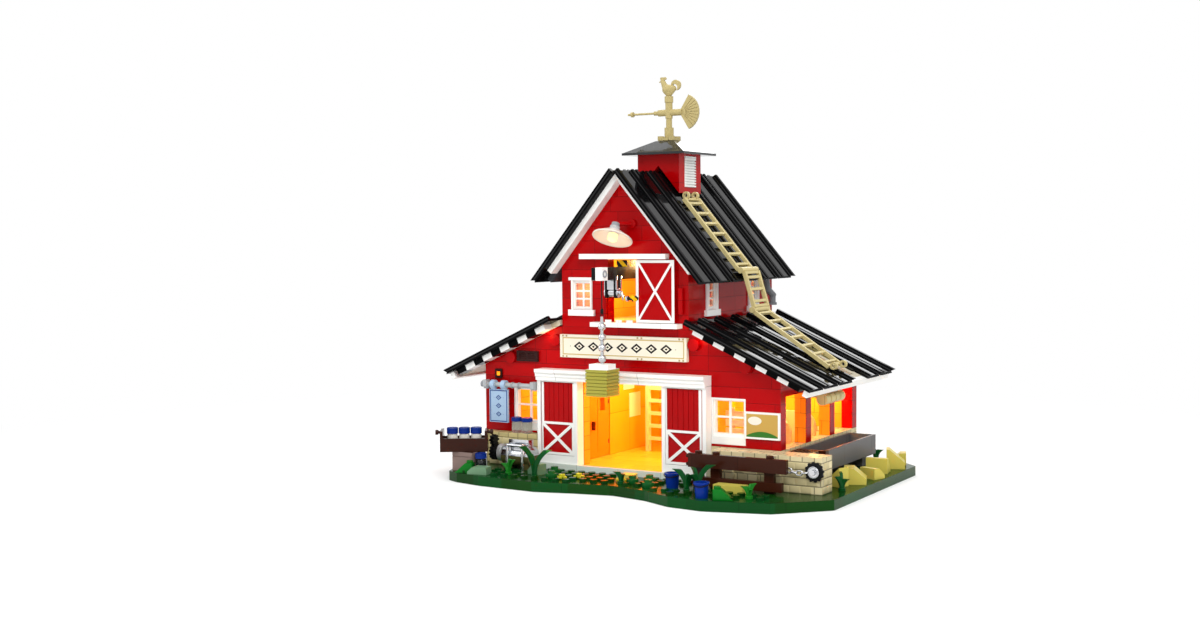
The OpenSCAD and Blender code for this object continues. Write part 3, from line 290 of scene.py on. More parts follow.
@dataclass(frozen=True)
class Seams:
    """The joints between the bricks that a surface is built of."""

    length: float = 40.0
    course: float = 9.6
    start: float = 0.0
    width: float = 0.16
    offset: float = 0.5
    depth: float = 0.5
    squash: float = 0.7

    def bricks(self, shade: Shade) -> tuple[Term, Term]:
        """Lays the bricks over a surface that faces any way.

        Args:
            shade: the material that they are laid in.

        Returns:
            The mask of the joints and each brick's own random number.
        """
        x, y, z = shade.place()
        nx, _, nz = shade.facing()
        flat = nz > 0.75
        along = x * (1 - (nx > 0.5)) + y * (nx > 0.5)
        run = along * (1 - flat) + x * flat
        rise = (z - self.start) * (1 - flat) + y * flat
        settings = {
            "offset": self.offset,
            "offset_frequency": 2,
            "squash": self.squash,
            "squash_frequency": 3,
        }
        sockets = {
            "Vector": shade.vector(run + 400.0, rise + self.course * 40, 0.0),
            "Color1": (0.0, 0.0, 0.0),
            "Color2": (1.0, 1.0, 1.0),
            "Mortar": (0.5, 0.5, 0.5),
            "Scale": 1.0,
            "Mortar Size": self.width,
            "Mortar Smooth": 0.1,
            "Bias": 0.0,
            "Brick Width": self.length,
            "Row Height": self.course,
        }
        made = add_node(shade.tree, "ShaderNodeTexBrick", settings, sockets)
        return Term(shade, made.outputs["Fac"]), Term(shade, made.outputs["Color"])


def box(**sides: tuple[float | None, float | None]) -> Bounds:
    """Bounds that are closed only on the sides named: x, y and z, each as low and high."""
    return tuple(limit for axis in "xyz" for limit in sides.get(axis, (None, None)))


@dataclass(frozen=True)
class Zone:
    """A part of a node that is moulded in its own finish, given as a box."""

    colour: Colour
    bounds: Bounds
    metal: float = 0.0
    rough: float | None = None
    glow: float = 0.0


@dataclass(frozen=True)
class Moulded:
    """Glossy moulded plastic, with brick joints and other colours where they are named."""

    name: str
    colour: Colour
    rough: float = 0.24
    tone: float = 0.1
    seams: Seams | None = None
    zones: tuple[Zone, ...] = ()
    metal: float = 0.0
    grain: float = 0.0
    glow: float = 0.0
    coat: float = 0.0
    sheen: float = 0.1
    edge: float = 0.22

    def zoned(self, shade: Shade, colour: Any) -> Any:
        """Lays each zone's colour over a colour."""
        for zone in self.zones:
            colour = shade.mix(shade.inside(zone.bounds), colour, zone.colour)
        return colour

    def pigment(self, shade: Shade) -> Any:
        """The plain colour, with each zone's colour over it."""
        return self.zoned(shade, self.colour)

    def shine(self, shade: Shade) -> Term:
        """Roughness: the plastic's own, with faint scuffs from handling."""
        rough = shade.noise(3.0, 4.0) * 0.1 + (self.rough - 0.05)
        for zone in self.zones:
            if zone.rough is not None:
                mask = shade.inside(zone.bounds)
                rough = rough * (1 - mask) + mask * zone.rough
        return rough

    def metallic(self, shade: Shade) -> Any:
        """How much of the surface is bare metal."""
        mask: Any = self.metal
        if any(zone.metal for zone in self.zones):
            for zone in self.zones:
                inside = shade.inside(zone.bounds)
                mask = (1 - inside) * mask + inside * zone.metal
        return mask

    def light(self, shade: Shade) -> None:
        """Makes the glowing zones, or the whole, give light."""
        glow, colour = self.glow, self.colour
        for zone in self.zones:
            if zone.glow:
                glow = zone.glow
                colour = shade.mix(shade.inside(zone.bounds), (0.0, 0.0, 0.0), zone.colour)
        if glow:
            shade.fill({"Emission Color": colour, "Emission Strength": glow})

    def lacquer(self, shade: Shade) -> None:
        """Sets how much clear gloss lies over the colour."""
        shade.fill({"Coat Weight": self.coat})

    def build(self) -> bpy.types.Material:
        """Makes the material."""
        shade = Shade(self.name)
        colour = self.pigment(shade)
        height = shade.noise(14.0, 2.0) * 0.12 + shade.noise(0.7, 2.0) * (0.02 + self.grain)
        tone = shade.noise(30.0, 1.0) - 0.5
        if self.seams:
            joint, brick = self.seams.bricks(shade)
            tone = tone * 0.4 + (brick - 0.5)
            height = height + (brick - 0.5) * 0.05 - joint * self.seams.depth
            colour = shade.mix(joint * 0.6, colour, (0.0, 0.0, 0.0))
        sockets = {"Value": tone * self.tone * 2 + 1.0, "Color": colour}
        rounded = shade.out("ShaderNodeBevel", {"samples": 4}, {"Radius": self.edge * MM})
        shade.fill(
            {
                "Base Color": shade.out("ShaderNodeHueSaturation", {}, sockets),
                "Roughness": self.shine(shade),
                "Normal": shade.bump(0.35, height, Normal=rounded),
                "Metallic": self.metallic(shade),
                "Specular IOR Level": self.sheen,
            }
        )
        self.lacquer(shade)
        self.light(shade)
        return shade.material


@dataclass(frozen=True)
class RoofPlank(Moulded):
    """Black roof planks: a mirror gloss in their channels and a duller one on their edges."""

    eave: Slope = MAIN_SLOPE
    channel: Pair = (1.4, 2.2)

    def lacquer(self, shade: Shade) -> None:
        """Lays the clear gloss in the channels, below the plane of the raised edges."""
        x, _, z = shade.place()
        start, top, angle = self.eave
        slope = math.radians(angle)
        sunk = (top - z) * math.cos(slope) - (abs(x) - start) * math.sin(slope)
        mask = (sunk > self.channel[0]) * (sunk < self.channel[1]) * self.coat
        shade.fill({"Coat Weight": mask, "Coat IOR": 1.9})


@dataclass(frozen=True)
class DoorPaint(Moulded):
    """White rails and cross on red boards: what is sunk below the face is red."""

    face: float = 0.0

    def pigment(self, shade: Shade) -> Term:
        """White on the face and red behind it."""
        _, y, _ = shade.place()
        return shade.mix(y > self.face + 0.4, WHITE, self.colour)


@dataclass(frozen=True)
class Foliage(Moulded):
    """Green leaves and plates, each plate in its own green."""

    second: Colour = (0.0, 0.0, 0.0)
    patch: float = 24.0

    def pigment(self, shade: Shade) -> Term:
        """Two greens laid plate by plate."""
        x, y, _ = shade.place()
        vector = shade.vector(x, y, 0.0)
        sockets = {"Vector": vector, "Scale": 1.0 / self.patch, "Randomness": 0.0}
        cell = shade.out("ShaderNodeTexVoronoi", {"distance": "CHEBYCHEV"}, sockets, "Color")
        return shade.mix(cell > 0.62, self.colour, self.second)


@dataclass(frozen=True)
class Striped(Moulded):
    """Slanted warning stripes in yellow and black."""

    pitch: float = 7.0
    above: float = 0.0

    def pigment(self, shade: Shade) -> Term:
        """Black, with the stripes above a height."""
        x, y, z = shade.place()
        stripe = (x + y + z).wrap(self.pitch) > self.pitch / 4
        colour = shade.mix(stripe * (z > self.above), self.colour, srgb(240, 190, 20))
        return self.zoned(shade, colour)


@dataclass(frozen=True)
class Signwriting(Moulded):
    """A printed board with a ruled border and a plain row of lozenges."""

    centre: Point = (0.0, 0.0, 0.0)
    half: Pair = (1.0, 1.0)
    ink: Colour = (0.0, 0.0, 0.0)
    rule: Colour = (0.0, 0.0, 0.0)
    margin: float = 2.6
    line: float = 0.7
    pitch: float = 12.0
    lozenge: Pair = (4.4, 3.2)
    rows: int = 1

    def pigment(self, shade: Shade) -> Term:
        """Field, border and lozenges, each with a dot in its middle."""
        x, _, z = shade.place()
        u, v = abs(x - self.centre[0]), abs(z - self.centre[2])
        wide, high = (half - self.margin for half in self.half)
        edge = (u > wide) | (v > high)
        outer = (u > wide + self.line) | (v > high + self.line)
        colour = shade.mix(edge * (1 - outer), self.colour, self.rule)
        across = (x - self.centre[0] + self.pitch * 50).wrap(self.pitch)
        height = (z - self.centre[2]).wrap(self.half[1] / max(self.rows - 1, 0.5))
        if self.rows == 1:
            height = v
        shape = across / self.lozenge[0] + height / self.lozenge[1]
        within = (u < wide - 2 * self.margin) * (v < high - 0.6 * self.margin)
        colour = shade.mix((shape < 1.0) * (shape > 0.55) * within, colour, self.ink)
        return shade.mix((shape < 0.25) * within, colour, self.ink)


@dataclass(frozen=True)
class Landscape(Moulded):
    """A plain printed view for the yard poster: hills under a round cloud."""

    centre: Point = (0.0, 0.0, 0.0)
    half: Pair = (12.0, 8.5)
    frame: float = 1.2

    def pigment(self, shade: Shade) -> Term:
        """White edge, tan field, green hills and a pale disc."""
        x, _, z = shade.place()
        u, v = x - self.centre[0], z - self.centre[2]
        wide, high = (half - self.frame for half in self.half)
        hill = u * u / -40.0 - 3.6
        colour = shade.mix((v - hill) < 0.0, srgb(202, 164, 84), srgb(58, 120, 46))
        disc = (u + 5.0) * (u + 5.0) / 22.0 + (v - 3.0) * (v - 3.0) / 7.0
        colour = shade.mix(disc < 1.0, colour, srgb(240, 236, 220))
        return shade.mix((abs(u) > wide) | (abs(v) > high), colour, WHITE)


@dataclass(frozen=True)
class Glass:
    """Clear moulded plastic with faint waves."""

    name: str
    colour: Colour
    rough: float = 0.08

    def build(self) -> bpy.types.Material:
        """Makes the material."""
        shade = Shade(self.name)
        darker = tuple(c * 0.86 for c in self.colour)
        shade.fill(
            {
                "Base Color": shade.mix(shade.noise(6.0, 2.0), self.colour, darker),
                "Roughness": shade.noise(2.0, 3.0) * 0.06 + self.rough,
                "Normal": shade.bump(0.3, shade.noise(4.0, 2.0) * 0.2),
                "Transmission Weight": 0.85,
                "IOR": 1.46,
            }
        )
        return shade.material


@dataclass(frozen=True)
class LampDish(Moulded):
    """The lamp's white dish, with painted warm light where its bulb lights it from below."""

    def pigment(self, shade: Shade) -> Term:
        """White, with painted warm bulb light towards the bulb on the dish's underside."""
        _, y, z = shade.place()
        tilt = math.radians(LAMP_TILT)
        local = (z - LAMP_AT[2]) * math.cos(tilt) - (y - LAMP_AT[1]) * math.sin(tilt)
        # Painted light: the bulb's warm glow laid into the dish's colour near the bulb.
        inner = 1 - (local + 1.6).ramp(0.0, 3.4)
        return shade.mix(inner * 0.35, self.colour, srgb(255, 214, 160))


# ---------------------------------------------------------------- finishes

WALL = Seams(length=44.0, course=9.6, start=28.8)
UPPER = Seams(length=36.0, course=9.6, start=102.4)
STONE = Seams(length=7.9, course=4.8, start=6.4, width=0.35, depth=1.3, squash=1.4)
ROOF_SEAMS = Seams(64.0, 400.0, 0.0, 0.14, 0.5, 0.3, 1.0)
PLATES = Seams(length=32.0, course=16.0, start=6.4, width=0.12, squash=1.0)
FLOOR_TILES = Seams(32.0, 16.0, 0.0, 0.12, 0.5, 0.4, 1.0)
SLATS = Seams(400.0, 1.8, 196.2, 0.1, 0.0, 1.0, 1.0)
WALL_SKIN = 7.9
OPEN_SKIN = 0.4


def red_wall(name: str, seams: Seams, half: float, skin: float = WALL_SKIN) -> Moulded:
    """Red bricks, whose faces inside and the doorway's jambs are orange as painted warm light from
    the bulbs inside.

    Args:
        name: the finish's name.
        seams: how its bricks are laid.
        half: half the storey's width in millimetres.
        skin: how deep the red goes in from the storey's sides.

    Returns:
        The finish.
    """
    inside = half - skin
    # Painted warm light: the red bricks' inner faces and the doorway's jambs are coloured orange,
    # as the bulbs inside light them.
    inner = Zone(PAINTED_LAMPLIGHT_ORANGE, box(x=(-inside, inside), y=(WALL_SKIN, 120.1)), rough=0.3)
    jamb = Zone(PAINTED_LAMPLIGHT_ORANGE, box(x=(-32.3, 32.3), y=(0.5, 8.0), z=(9.0, 68.0)))
    foot = Zone(TAN, box(y=(120.2, None), z=(None, 28.8)), rough=0.32)
    return Moulded(name, RED, 0.17, 0.13, seams, (inner, jamb, foot))


def walls() -> dict[str, Moulded]:
    """The finishes of the eight outer walls. The lower right one is open, so the painted warm light
    of the inside covers it nearly to its outer faces.
    """
    made = {}
    for side in ("front", "left", "right", "back"):
        skin = OPEN_SKIN if side == "right" else WALL_SKIN
        made[f"lower_{side}_wall"] = red_wall(f"{side}_bricks", WALL, 112.0, skin)
        made[f"upper_{side}_wall"] = red_wall(f"upper_{side}_bricks", UPPER, 48.0)
    return made


# Finishes with no seams or zones: node, the finish's name, colour, roughness and tone.
PLAIN: tuple[tuple[str, str, Colour, float, float], ...] = (
    ("inner_ladder", "inner_ladder_cream", srgb(250, 232, 186), 0.3, 0.1),
    ("loft_track", "loft_track_white", WHITE, 0.24, 0.04),
    ("lower_windows", "window_white", WHITE, 0.22, 0.03),
    ("upper_windows", "loft_window_white", WHITE, 0.22, 0.03),
    ("gable_trim", "gable_white", WHITE, 0.24, 0.05),
    ("rafter_tails", "tail_white", WHITE, 0.24, 0.05),
    ("purlin_ends", "purlin_red", RED, 0.2, 0.06),
    ("lamp_arm", "lamp_arm_red", RED, 0.2, 0.05),
    ("roof_ladders", "ladder_tan", TAN, 0.3, 0.08),
    ("stall_dividers", "divider_cream", CREAM, 0.3, 0.06),
    ("buckets", "bucket_blue", srgb(8, 46, 138), 0.18, 0.05),
    ("left_door_frame", "left_frame_white", WHITE, 0.22, 0.03),
    ("right_door_frame", "right_frame_white", WHITE, 0.22, 0.03),
)

FINISHES: dict[str, Moulded] = {
    **{node: Moulded(*finish) for node, *finish in PLAIN},
    **walls(),
    "base_plate": Foliage(
        "garden_plate", srgb(12, 58, 10), 0.2, 0.16, PLATES, second=srgb(6, 66, 22)
    ),
    "garden_plants": Foliage("leaves", srgb(8, 74, 30), 0.3, 0.2, second=srgb(30, 122, 34)),
    "garden_rocks": Moulded(
        "yellow_stone",
        srgb(206, 192, 88),
        0.3,
        0.2,
        zones=(Zone(srgb(112, 148, 116), box(x=(None, -40.0))),),
        grain=0.05,
    ),
    "barn_floor": Moulded("floor_tiles", srgb(244, 190, 54), 0.25, 0.1, FLOOR_TILES),
    "left_foundation": Moulded("left_stone", TAN, 0.32, 0.16, STONE),
    "right_foundation": Moulded("right_stone", srgb(222, 208, 164), 0.32, 0.16, STONE),
    "loft_floor": Moulded("loft_boards", TAN, 0.3, 0.14, PLATES),
    "partition_walls": Moulded(
        "inner_bricks", srgb(250, 176, 32), 0.2, 0.12, Seams(56, 28.8, 9.6, 0.14)
    ),
    "header_track": Moulded("cornice_white", WHITE, 0.22, 0.04, Seams(64, 40, 60, 0.12)),
    "door_sill": Moulded("sill_white", srgb(214, 222, 214), 0.24, 0.05, Seams(32, 40, 0, 0.12)),
    "loft_sill": Moulded("loft_sill_white", WHITE, 0.24, 0.04, Seams(32, 40, 90, 0.12)),
    "main_decks": Moulded("deck_grey", srgb(70, 72, 76), 0.34, 0.1, PLATES),
    "main_planks": RoofPlank("roof_black", BLACK, 0.08, 0.1, ROOF_SEAMS, coat=0.3, sheen=0.03),
    "side_decks": Moulded("side_deck_tan", srgb(206, 198, 176), 0.34, 0.1, PLATES),
    "side_planks": RoofPlank(
        "side_roof_black", BLACK, 0.06, 0.1, ROOF_SEAMS, coat=0.28, sheen=0.03, eave=SIDE_SLOPE
    ),
    "cupola_body": Moulded("cupola_bricks", RED, 0.16, 0.1, Seams(32, 28.8, 170, 0.14)),
    "cupola_louvre": Moulded("louvre_white", WHITE, 0.26, 0.02, SLATS),
    "cupola_roof": Moulded(
        "cupola_black", srgb(34, 36, 38), 0.16, 0.06, Seams(16, 400, 0, 0.1), coat=0.6
    ),
    "sign_board": Signwriting(
        "long_sign",
        srgb(236, 230, 212),
        0.3,
        0.03,
        centre=(0.0, 0.0, 89.7),
        half=(48.0, 7.7),
        ink=srgb(34, 30, 30),
        rule=srgb(196, 172, 112),
        pitch=11.0,
    ),
    "wall_fittings": Moulded(
        "fittings",
        srgb(52, 26, 24),
        0.28,
        0.06,
        zones=(
            Zone(srgb(48, 14, 12), box(x=(-104.0, -97.0))),
            Zone(
                srgb(255, 138, 24),
                box(x=(-101.7, -99.1), y=(None, -0.3), z=(67.3, 69.9)),
                glow=1.4,
            ),
            Zone(srgb(120, 122, 126), box(x=(40.0, None)), rough=0.3),
        ),
    ),
    "sign_bar": Moulded(
        "bar_grey", srgb(172, 176, 178), 0.24, 0.05, zones=(Zone(RED, box(y=(-6.4, None))),)
    ),
    "poster_board": Landscape("yard_poster", WHITE, 0.3, 0.03, centre=(100.0, 0.0, 43.9)),
    "lamp_shade": LampDish("lamp_white", srgb(236, 232, 228), 0.16, 0.03),
    "fence": Moulded("fence_brown", DARK_BROWN, 0.2, 0.14, Seams(32, 400, 0, 0.14)),
    "gate_chain": Moulded(
        "chain_steel",
        STEEL,
        0.14,
        0.03,
        zones=(
            Zone(WHITE, box(x=(None, 117.0), z=(22.0, None)), rough=0.25),
            Zone(SOOT, box(x=(136.2, None), y=(-18.4, None)), rough=0.2),
        ),
        metal=1.0,
    ),
    "feed_trough": Moulded(
        "trough_grey",
        srgb(100, 99, 100),
        0.3,
        0.12,
        Seams(48, 13, 14, 0.14),
        (
            Zone(DARK_BROWN, box(x=(112.0, 134.0), y=(23.0, 29.0), z=(13.0, 28.0))),
            Zone(srgb(24, 24, 25), box(x=(112.0, 134.0), y=(1.0, 19.0))),
            Zone(TAN, box(z=(50.0, None))),
        ),
    ),
    "hoist_boom": Striped("boom_black", SOOT, 0.2, 0.06, above=143.1),
    "milk_machine": Moulded(
        "machine",
        srgb(84, 80, 44),
        0.3,
        0.08,
        zones=(
            Zone(STEEL, box(z=(15.6, None)), metal=1.0, rough=0.16),
            Zone(STEEL, box(y=(None, -22.9)), metal=1.0, rough=0.16),
            Zone(srgb(230, 232, 232), box(x=(-88.6, -84.1)), 0.6, 0.16),
            Zone(srgb(22, 22, 24), box(x=(None, -91.5)), rough=0.2),
        ),
    ),
    "milk_tray": Moulded(
        "tray_brown",
        srgb(52, 26, 18),
        0.2,
        zones=(Zone(srgb(132, 112, 106), box(z=(None, 19.15)), rough=0.3),),
    ),
    "left_door_leaf": DoorPaint("left_leaf_paint", RED, 0.2, 0.05, face=-7.55),
    "right_door_leaf": DoorPaint("right_leaf_paint", RED, 0.2, 0.05, face=-7.55),
    "loft_door": DoorPaint("loft_door_paint", RED, 0.2, 0.05, face=-3.5),
    "inner_door": Moulded(
        "inner_door_orange",
        srgb(244, 140, 20),
        0.18,
        0.08,
        zones=(Zone(srgb(92, 40, 10), box(x=(-39.95, None))),),
    ),
    "hanging_sign": Signwriting(
        "price_sign",
        srgb(164, 190, 216),
        0.28,
        0.03,
        centre=(-95.2, 0.0, 47.1),
        half=(7.6, 11.4),
        ink=srgb(36, 62, 130),
        rule=srgb(36, 62, 130),
        margin=1.2,
        pitch=6.0,
        lozenge=(2.4, 1.8),
        rows=3,
    ),
    # Painted shade: the vane is the ladders' tan, made darker to offset the strong light on its
    # top.
    "weather_vane": Moulded("vane_shaded_tan", srgb(184, 168, 116), 0.3, 0.08, edge=0.15),
    "winch_crank": Striped(
        "crank_yellow",
        srgb(30, 30, 30),
        0.2,
        0.05,
        zones=(Zone(STEEL, box(x=(None, 8.6)), metal=1.0, rough=0.16),),
        pitch=8.0,
        above=100.0,
    ),
    "hoist_load": Moulded(
        "hay_green",
        srgb(162, 156, 66),
        0.34,
        zones=(
            Zone(WHITE, box(z=(77.9, 81.15)), rough=0.2),
            Zone(STEEL, box(z=(81.15, None)), metal=1.0, rough=0.12),
        ),
    ),
}

MILK = Moulded("jar_milk_white", srgb(226, 222, 212), 0.2, 0.04)
CLEAR_JAR = Glass("jar_clear", srgb(228, 226, 214), 0.08)
PANE = Glass("pane_clear", srgb(255, 222, 206), 0.05)
DARK_JAR = Glass("jar_smoky", srgb(70, 74, 80), 0.1)
LID_BLUE = Moulded("lid_blue", srgb(12, 44, 128), 0.2, 0.06)
BULB = Moulded("bulb_glow", srgb(255, 222, 160), 0.2, 0.02, glow=1.0)
LAMP_WHITE = Moulded("lamp_rim_white", srgb(226, 222, 216), 0.2, 0.03)
PALE_GREY = Moulded("pale_grey", srgb(150, 153, 157), 0.24, 0.05)
SHELL_WHITE = Moulded("block_white", WHITE, 0.2, 0.03)
SHELL_CREAM = Moulded("board_cream", CREAM, 0.26, 0.06)
CHROME = Moulded("bright_metal", STEEL, 0.14, 0.03, metal=1.0)
STRIP_TILES = Foliage(
    "gap_tiles", srgb(34, 33, 30), 0.26, 0.2, second=srgb(118, 108, 66), patch=26.0
)
PATCH_GREY = Moulded("patch_grey", srgb(104, 107, 112), 0.26, 0.06)
BRIGHT_GREEN = Moulded("slope_green", srgb(14, 108, 30), 0.24, 0.08)
LEAF_GREEN = Moulded("round_green", srgb(14, 84, 32), 0.24, 0.08)
PETAL_YELLOW = Moulded("petal_yellow", srgb(188, 184, 40), 0.26, 0.08)
STONE_TAN = Moulded("stone_tan", srgb(206, 192, 146), 0.3, 0.16)
PAPER = Moulded("wall_paper", srgb(250, 240, 214), 0.4, 0.04)
HINGE_BROWN = Moulded("hinge_brown", srgb(96, 44, 14), 0.24, 0.06)
POST_BROWN = Moulded("post_brown", DARK_BROWN, 0.22, 0.1)
VENT_BROWN = Moulded("vent_brown", srgb(60, 30, 28), 0.24, 0.08)
RUBBER_BLACK = Moulded("soft_black", SOOT, 0.3, 0.06)
STRING_BLACK = Moulded("string_black", srgb(26, 26, 28), 0.6, 0.1, grain=0.3)
RIVET_TAN = Moulded("rivet_tan", srgb(176, 158, 112), 0.26, 0.05)


# ---------------------------------------------------------------- modelling


class Axis(Enum):
    """The direction that a round piece stands in, as the turn that puts Z there."""

    X = (0.0, math.radians(90), 0.0)
    Y = (math.radians(-90), 0.0, 0.0)
    Z = (0.0, 0.0, 0.0)

    @property
    def ahead(self) -> Vector:
        """The unit vector along the axis."""
        return Vector([float(self.name == letter) for letter in "XYZ"])


FaceTest = Callable[[Vector, Vector], bool]
# The cosines that count as facing a direction and as across it, and the angles in degrees
# above which an edge is rounded and below which a surface is shaded smooth.
FACING = 0.9
ACROSS = 0.1
SHARP = 40
ROUND = 38


def towards(x: float = 0.0, y: float = 0.0, z: float = 0.0) -> FaceTest:
    """The test for faces that look in a direction."""
    return lambda _, normal: normal.dot((x, y, z)) > FACING


def upright(_: Vector, normal: Vector) -> bool:
    """The test for faces that stand upright."""
    return abs(normal.z) < ACROSS


UP, DOWN, FRONT = towards(z=1.0), towards(z=-1.0), towards(y=-1.0)
RIGHT, LEFT = towards(x=1.0), towards(x=-1.0)


def clear_selection() -> None:
    """Deselects everything, so that an operator acts only on what is added next."""
    bpy.ops.object.select_all(action="DESELECT")


def choose(*pieces: Piece) -> None:
    """Selects these pieces alone and makes the first one active."""
    clear_selection()
    for piece in pieces:
        piece.select_set(True)
    bpy.context.view_layer.objects.active = pieces[0]


@lru_cache(maxsize=None)
def material_of(finish: Any) -> bpy.types.Material:
    """Builds a finish once and hands out the same material after that."""
    return finish.build()


def dress(node: Piece, finish: Any) -> None:
    """Puts a finish on a CAD node or a piece."""
    node.data.materials.clear()
    node.data.materials.append(material_of(finish))


@contextmanager
def editing(piece: Piece) -> Iterator[None]:
    """Opens a piece in edit mode with all its faces selected, and closes it again."""
    choose(piece)
    bpy.ops.object.mode_set(mode="EDIT")
    bpy.ops.mesh.select_mode(type="FACE")
    bpy.ops.mesh.select_all(action="SELECT")
    try:
        yield
    finally:
        bpy.ops.object.mode_set(mode="OBJECT")


def pick(piece: Piece, test: FaceTest) -> None:
    """Selects the faces of a piece in edit mode that pass a test.

    Args:
        piece: the piece that is open in edit mode.
        test: told a face's middle in millimetres and its normal.
    """
    bpy.ops.mesh.select_all(action="DESELECT")
    mesh = bmesh.from_edit_mesh(piece.data)
    for face in mesh.faces:
        if test(face.calc_center_median() / MM, face.normal):
            face.select_set(True)
    bmesh.update_edit_mesh(piece.data)


def carve(
    piece: Piece,
    test: FaceTest,
    thickness: float,
    depth: float = 0.0,
    each: bool = False,
    pull: Sequence[float] = (),
) -> None:
    """Insets faces of a piece, and extrudes them after that if a pull is given.

    Args:
        piece: the piece.
        test: which faces, told as pick takes it.
        thickness: how far they are inset, in millimetres.
        depth: how far the inset raises them, in millimetres.
        each: insets every face by itself.
        pull: the move that they are extruded by, in millimetres.
    """
    with editing(piece):
        pick(piece, test)
        bpy.ops.mesh.inset(thickness=thickness * MM, depth=depth * MM, use_individual=each)
        if pull:
            move = [part * MM for part in pull]
            bpy.ops.mesh.extrude_region_move(TRANSFORM_OT_translate={"value": move})


def applied(name: str) -> Piece:
    """Names the piece that was just added and applies its place, turn and size."""
    piece = bpy.context.active_object
    piece.name = name
    bpy.ops.object.transform_apply(location=True, rotation=True, scale=True)
    return piece


def block(name: str, low: Sequence[float], high: Sequence[float]) -> Piece:
    """Adds a block between two corners given in millimetres."""
    clear_selection()
    low_corner, high_corner = Vector(low), Vector(high)
    bpy.ops.mesh.primitive_cube_add(size=1.0, location=(low_corner + high_corner) / 2 * MM)
    bpy.context.active_object.scale = (high_corner - low_corner) * MM
    return applied(name)


def drum(
    name: str,
    at: Sequence[float],
    radius: float,
    height: float,
    axis: Axis = Axis.Z,
    sides: int = 32,
) -> Piece:
    """Adds a round piece that stands on a point, along an axis.

    Args:
        name: the piece's name.
        at: the middle of its foot, in millimetres.
        radius: its radius in millimetres.
        height: its length along the axis in millimetres.
        axis: the direction that it stands in.
        sides: how many sides its outline has.

    Returns:
        The piece.
    """
    clear_selection()
    middle = (Vector(at) + axis.ahead * height / 2) * MM
    bpy.ops.mesh.primitive_cylinder_add(
        vertices=sides, radius=radius * MM, depth=height * MM, location=middle, rotation=axis.value
    )
    return applied(name)


def ring(
    name: str,
    at: Sequence[float],
    radius: float,
    hole: float,
    height: float,
    axis: Axis = Axis.Z,
    sides: int = 32,
) -> Piece:
    """Adds a ring: a drum whose two ends are inset and bridged through."""
    piece = drum(name, at, radius, height, axis, sides)
    with editing(piece):
        pick(piece, lambda _, normal: abs(normal.dot(axis.ahead)) > FACING)
        bpy.ops.mesh.inset(thickness=(radius - hole) * MM, depth=0.0)
        bpy.ops.mesh.bridge_edge_loops()
    return piece


def hoop(
    name: str, at: Sequence[float], radius: float, wire: float, turn: Sequence[float]
) -> Piece:
    """Adds a wire hoop round a point, turned from the flat by three angles in degrees."""
    clear_selection()
    bpy.ops.mesh.primitive_torus_add(
        major_radius=radius * MM,
        minor_radius=wire * MM,
        major_segments=36,
        minor_segments=8,
        location=Vector(at) * MM,
        rotation=[math.radians(angle) for angle in turn],
    )
    return applied(name)


def soften(piece: Piece, width: float = 0.25, segments: int = 2) -> Piece:
    """Rounds a piece's sharp edges, as moulded plastic has them."""
    choose(piece)
    bevel = piece.modifiers.new("soft_edges", "BEVEL")
    bevel.width = width * MM
    bevel.segments = segments
    bevel.limit_method = "ANGLE"
    bevel.angle_limit = math.radians(SHARP)
    bpy.ops.object.modifier_apply(modifier=bevel.name)
    return piece


def twin(piece: Piece, place: Matrix) -> Piece:
    """Copies a piece with its own mesh, moved by a matrix in millimetres."""
    mesh = piece.data.copy()
    metres = place.copy()
    metres.translation = place.translation * MM
    mesh.transform(metres)
    copy = bpy.data.objects.new(piece.name, mesh)
    bpy.context.scene.collection.objects.link(copy)
    return copy


def repeat(piece: Piece, places: Iterable[Matrix]) -> Piece:
    """Copies a piece to each place, joins the copies into one piece and drops the first."""
    name = piece.name
    copies = [twin(piece, place) for place in places]
    bpy.data.objects.remove(piece)
    return joined(name, copies)


def joined(name: str, pieces: Sequence[Piece]) -> Piece:
    """Joins pieces into one."""
    choose(*pieces)
    if len(pieces) > 1:
        bpy.ops.object.join()
    whole = bpy.context.view_layer.objects.active
    whole.name = name
    return whole


def moved(x: float = 0.0, y: float = 0.0, z: float = 0.0, turn: float = 0.0) -> Matrix:
    """A place: a turn about Z in degrees, then a move in millimetres."""
    return Matrix.Translation((x, y, z)) @ Matrix.Rotation(math.radians(turn), 4, "Z")


def smooth(piece: Piece, finish: Any) -> None:
    """Dresses a finished piece and shades its round faces smooth."""
    dress(piece, finish)
    choose(piece)
    bpy.ops.object.shade_smooth_by_angle(angle=math.radians(ROUND))


def deliver(piece: Piece, finish: Any, body: Body = Body.BARN) -> None:
    """Dresses a finished piece and puts it on its body.

    Args:
        piece: the piece, in place.
        finish: what it is made of.
        body: the body that it rides on.
    """
    smooth(piece, finish)
    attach(piece, body.value)
    LOG.info("%s: %s on %s", piece.name, finish.name, body.value)


# ---------------------------------------------------------------- sub-assemblies


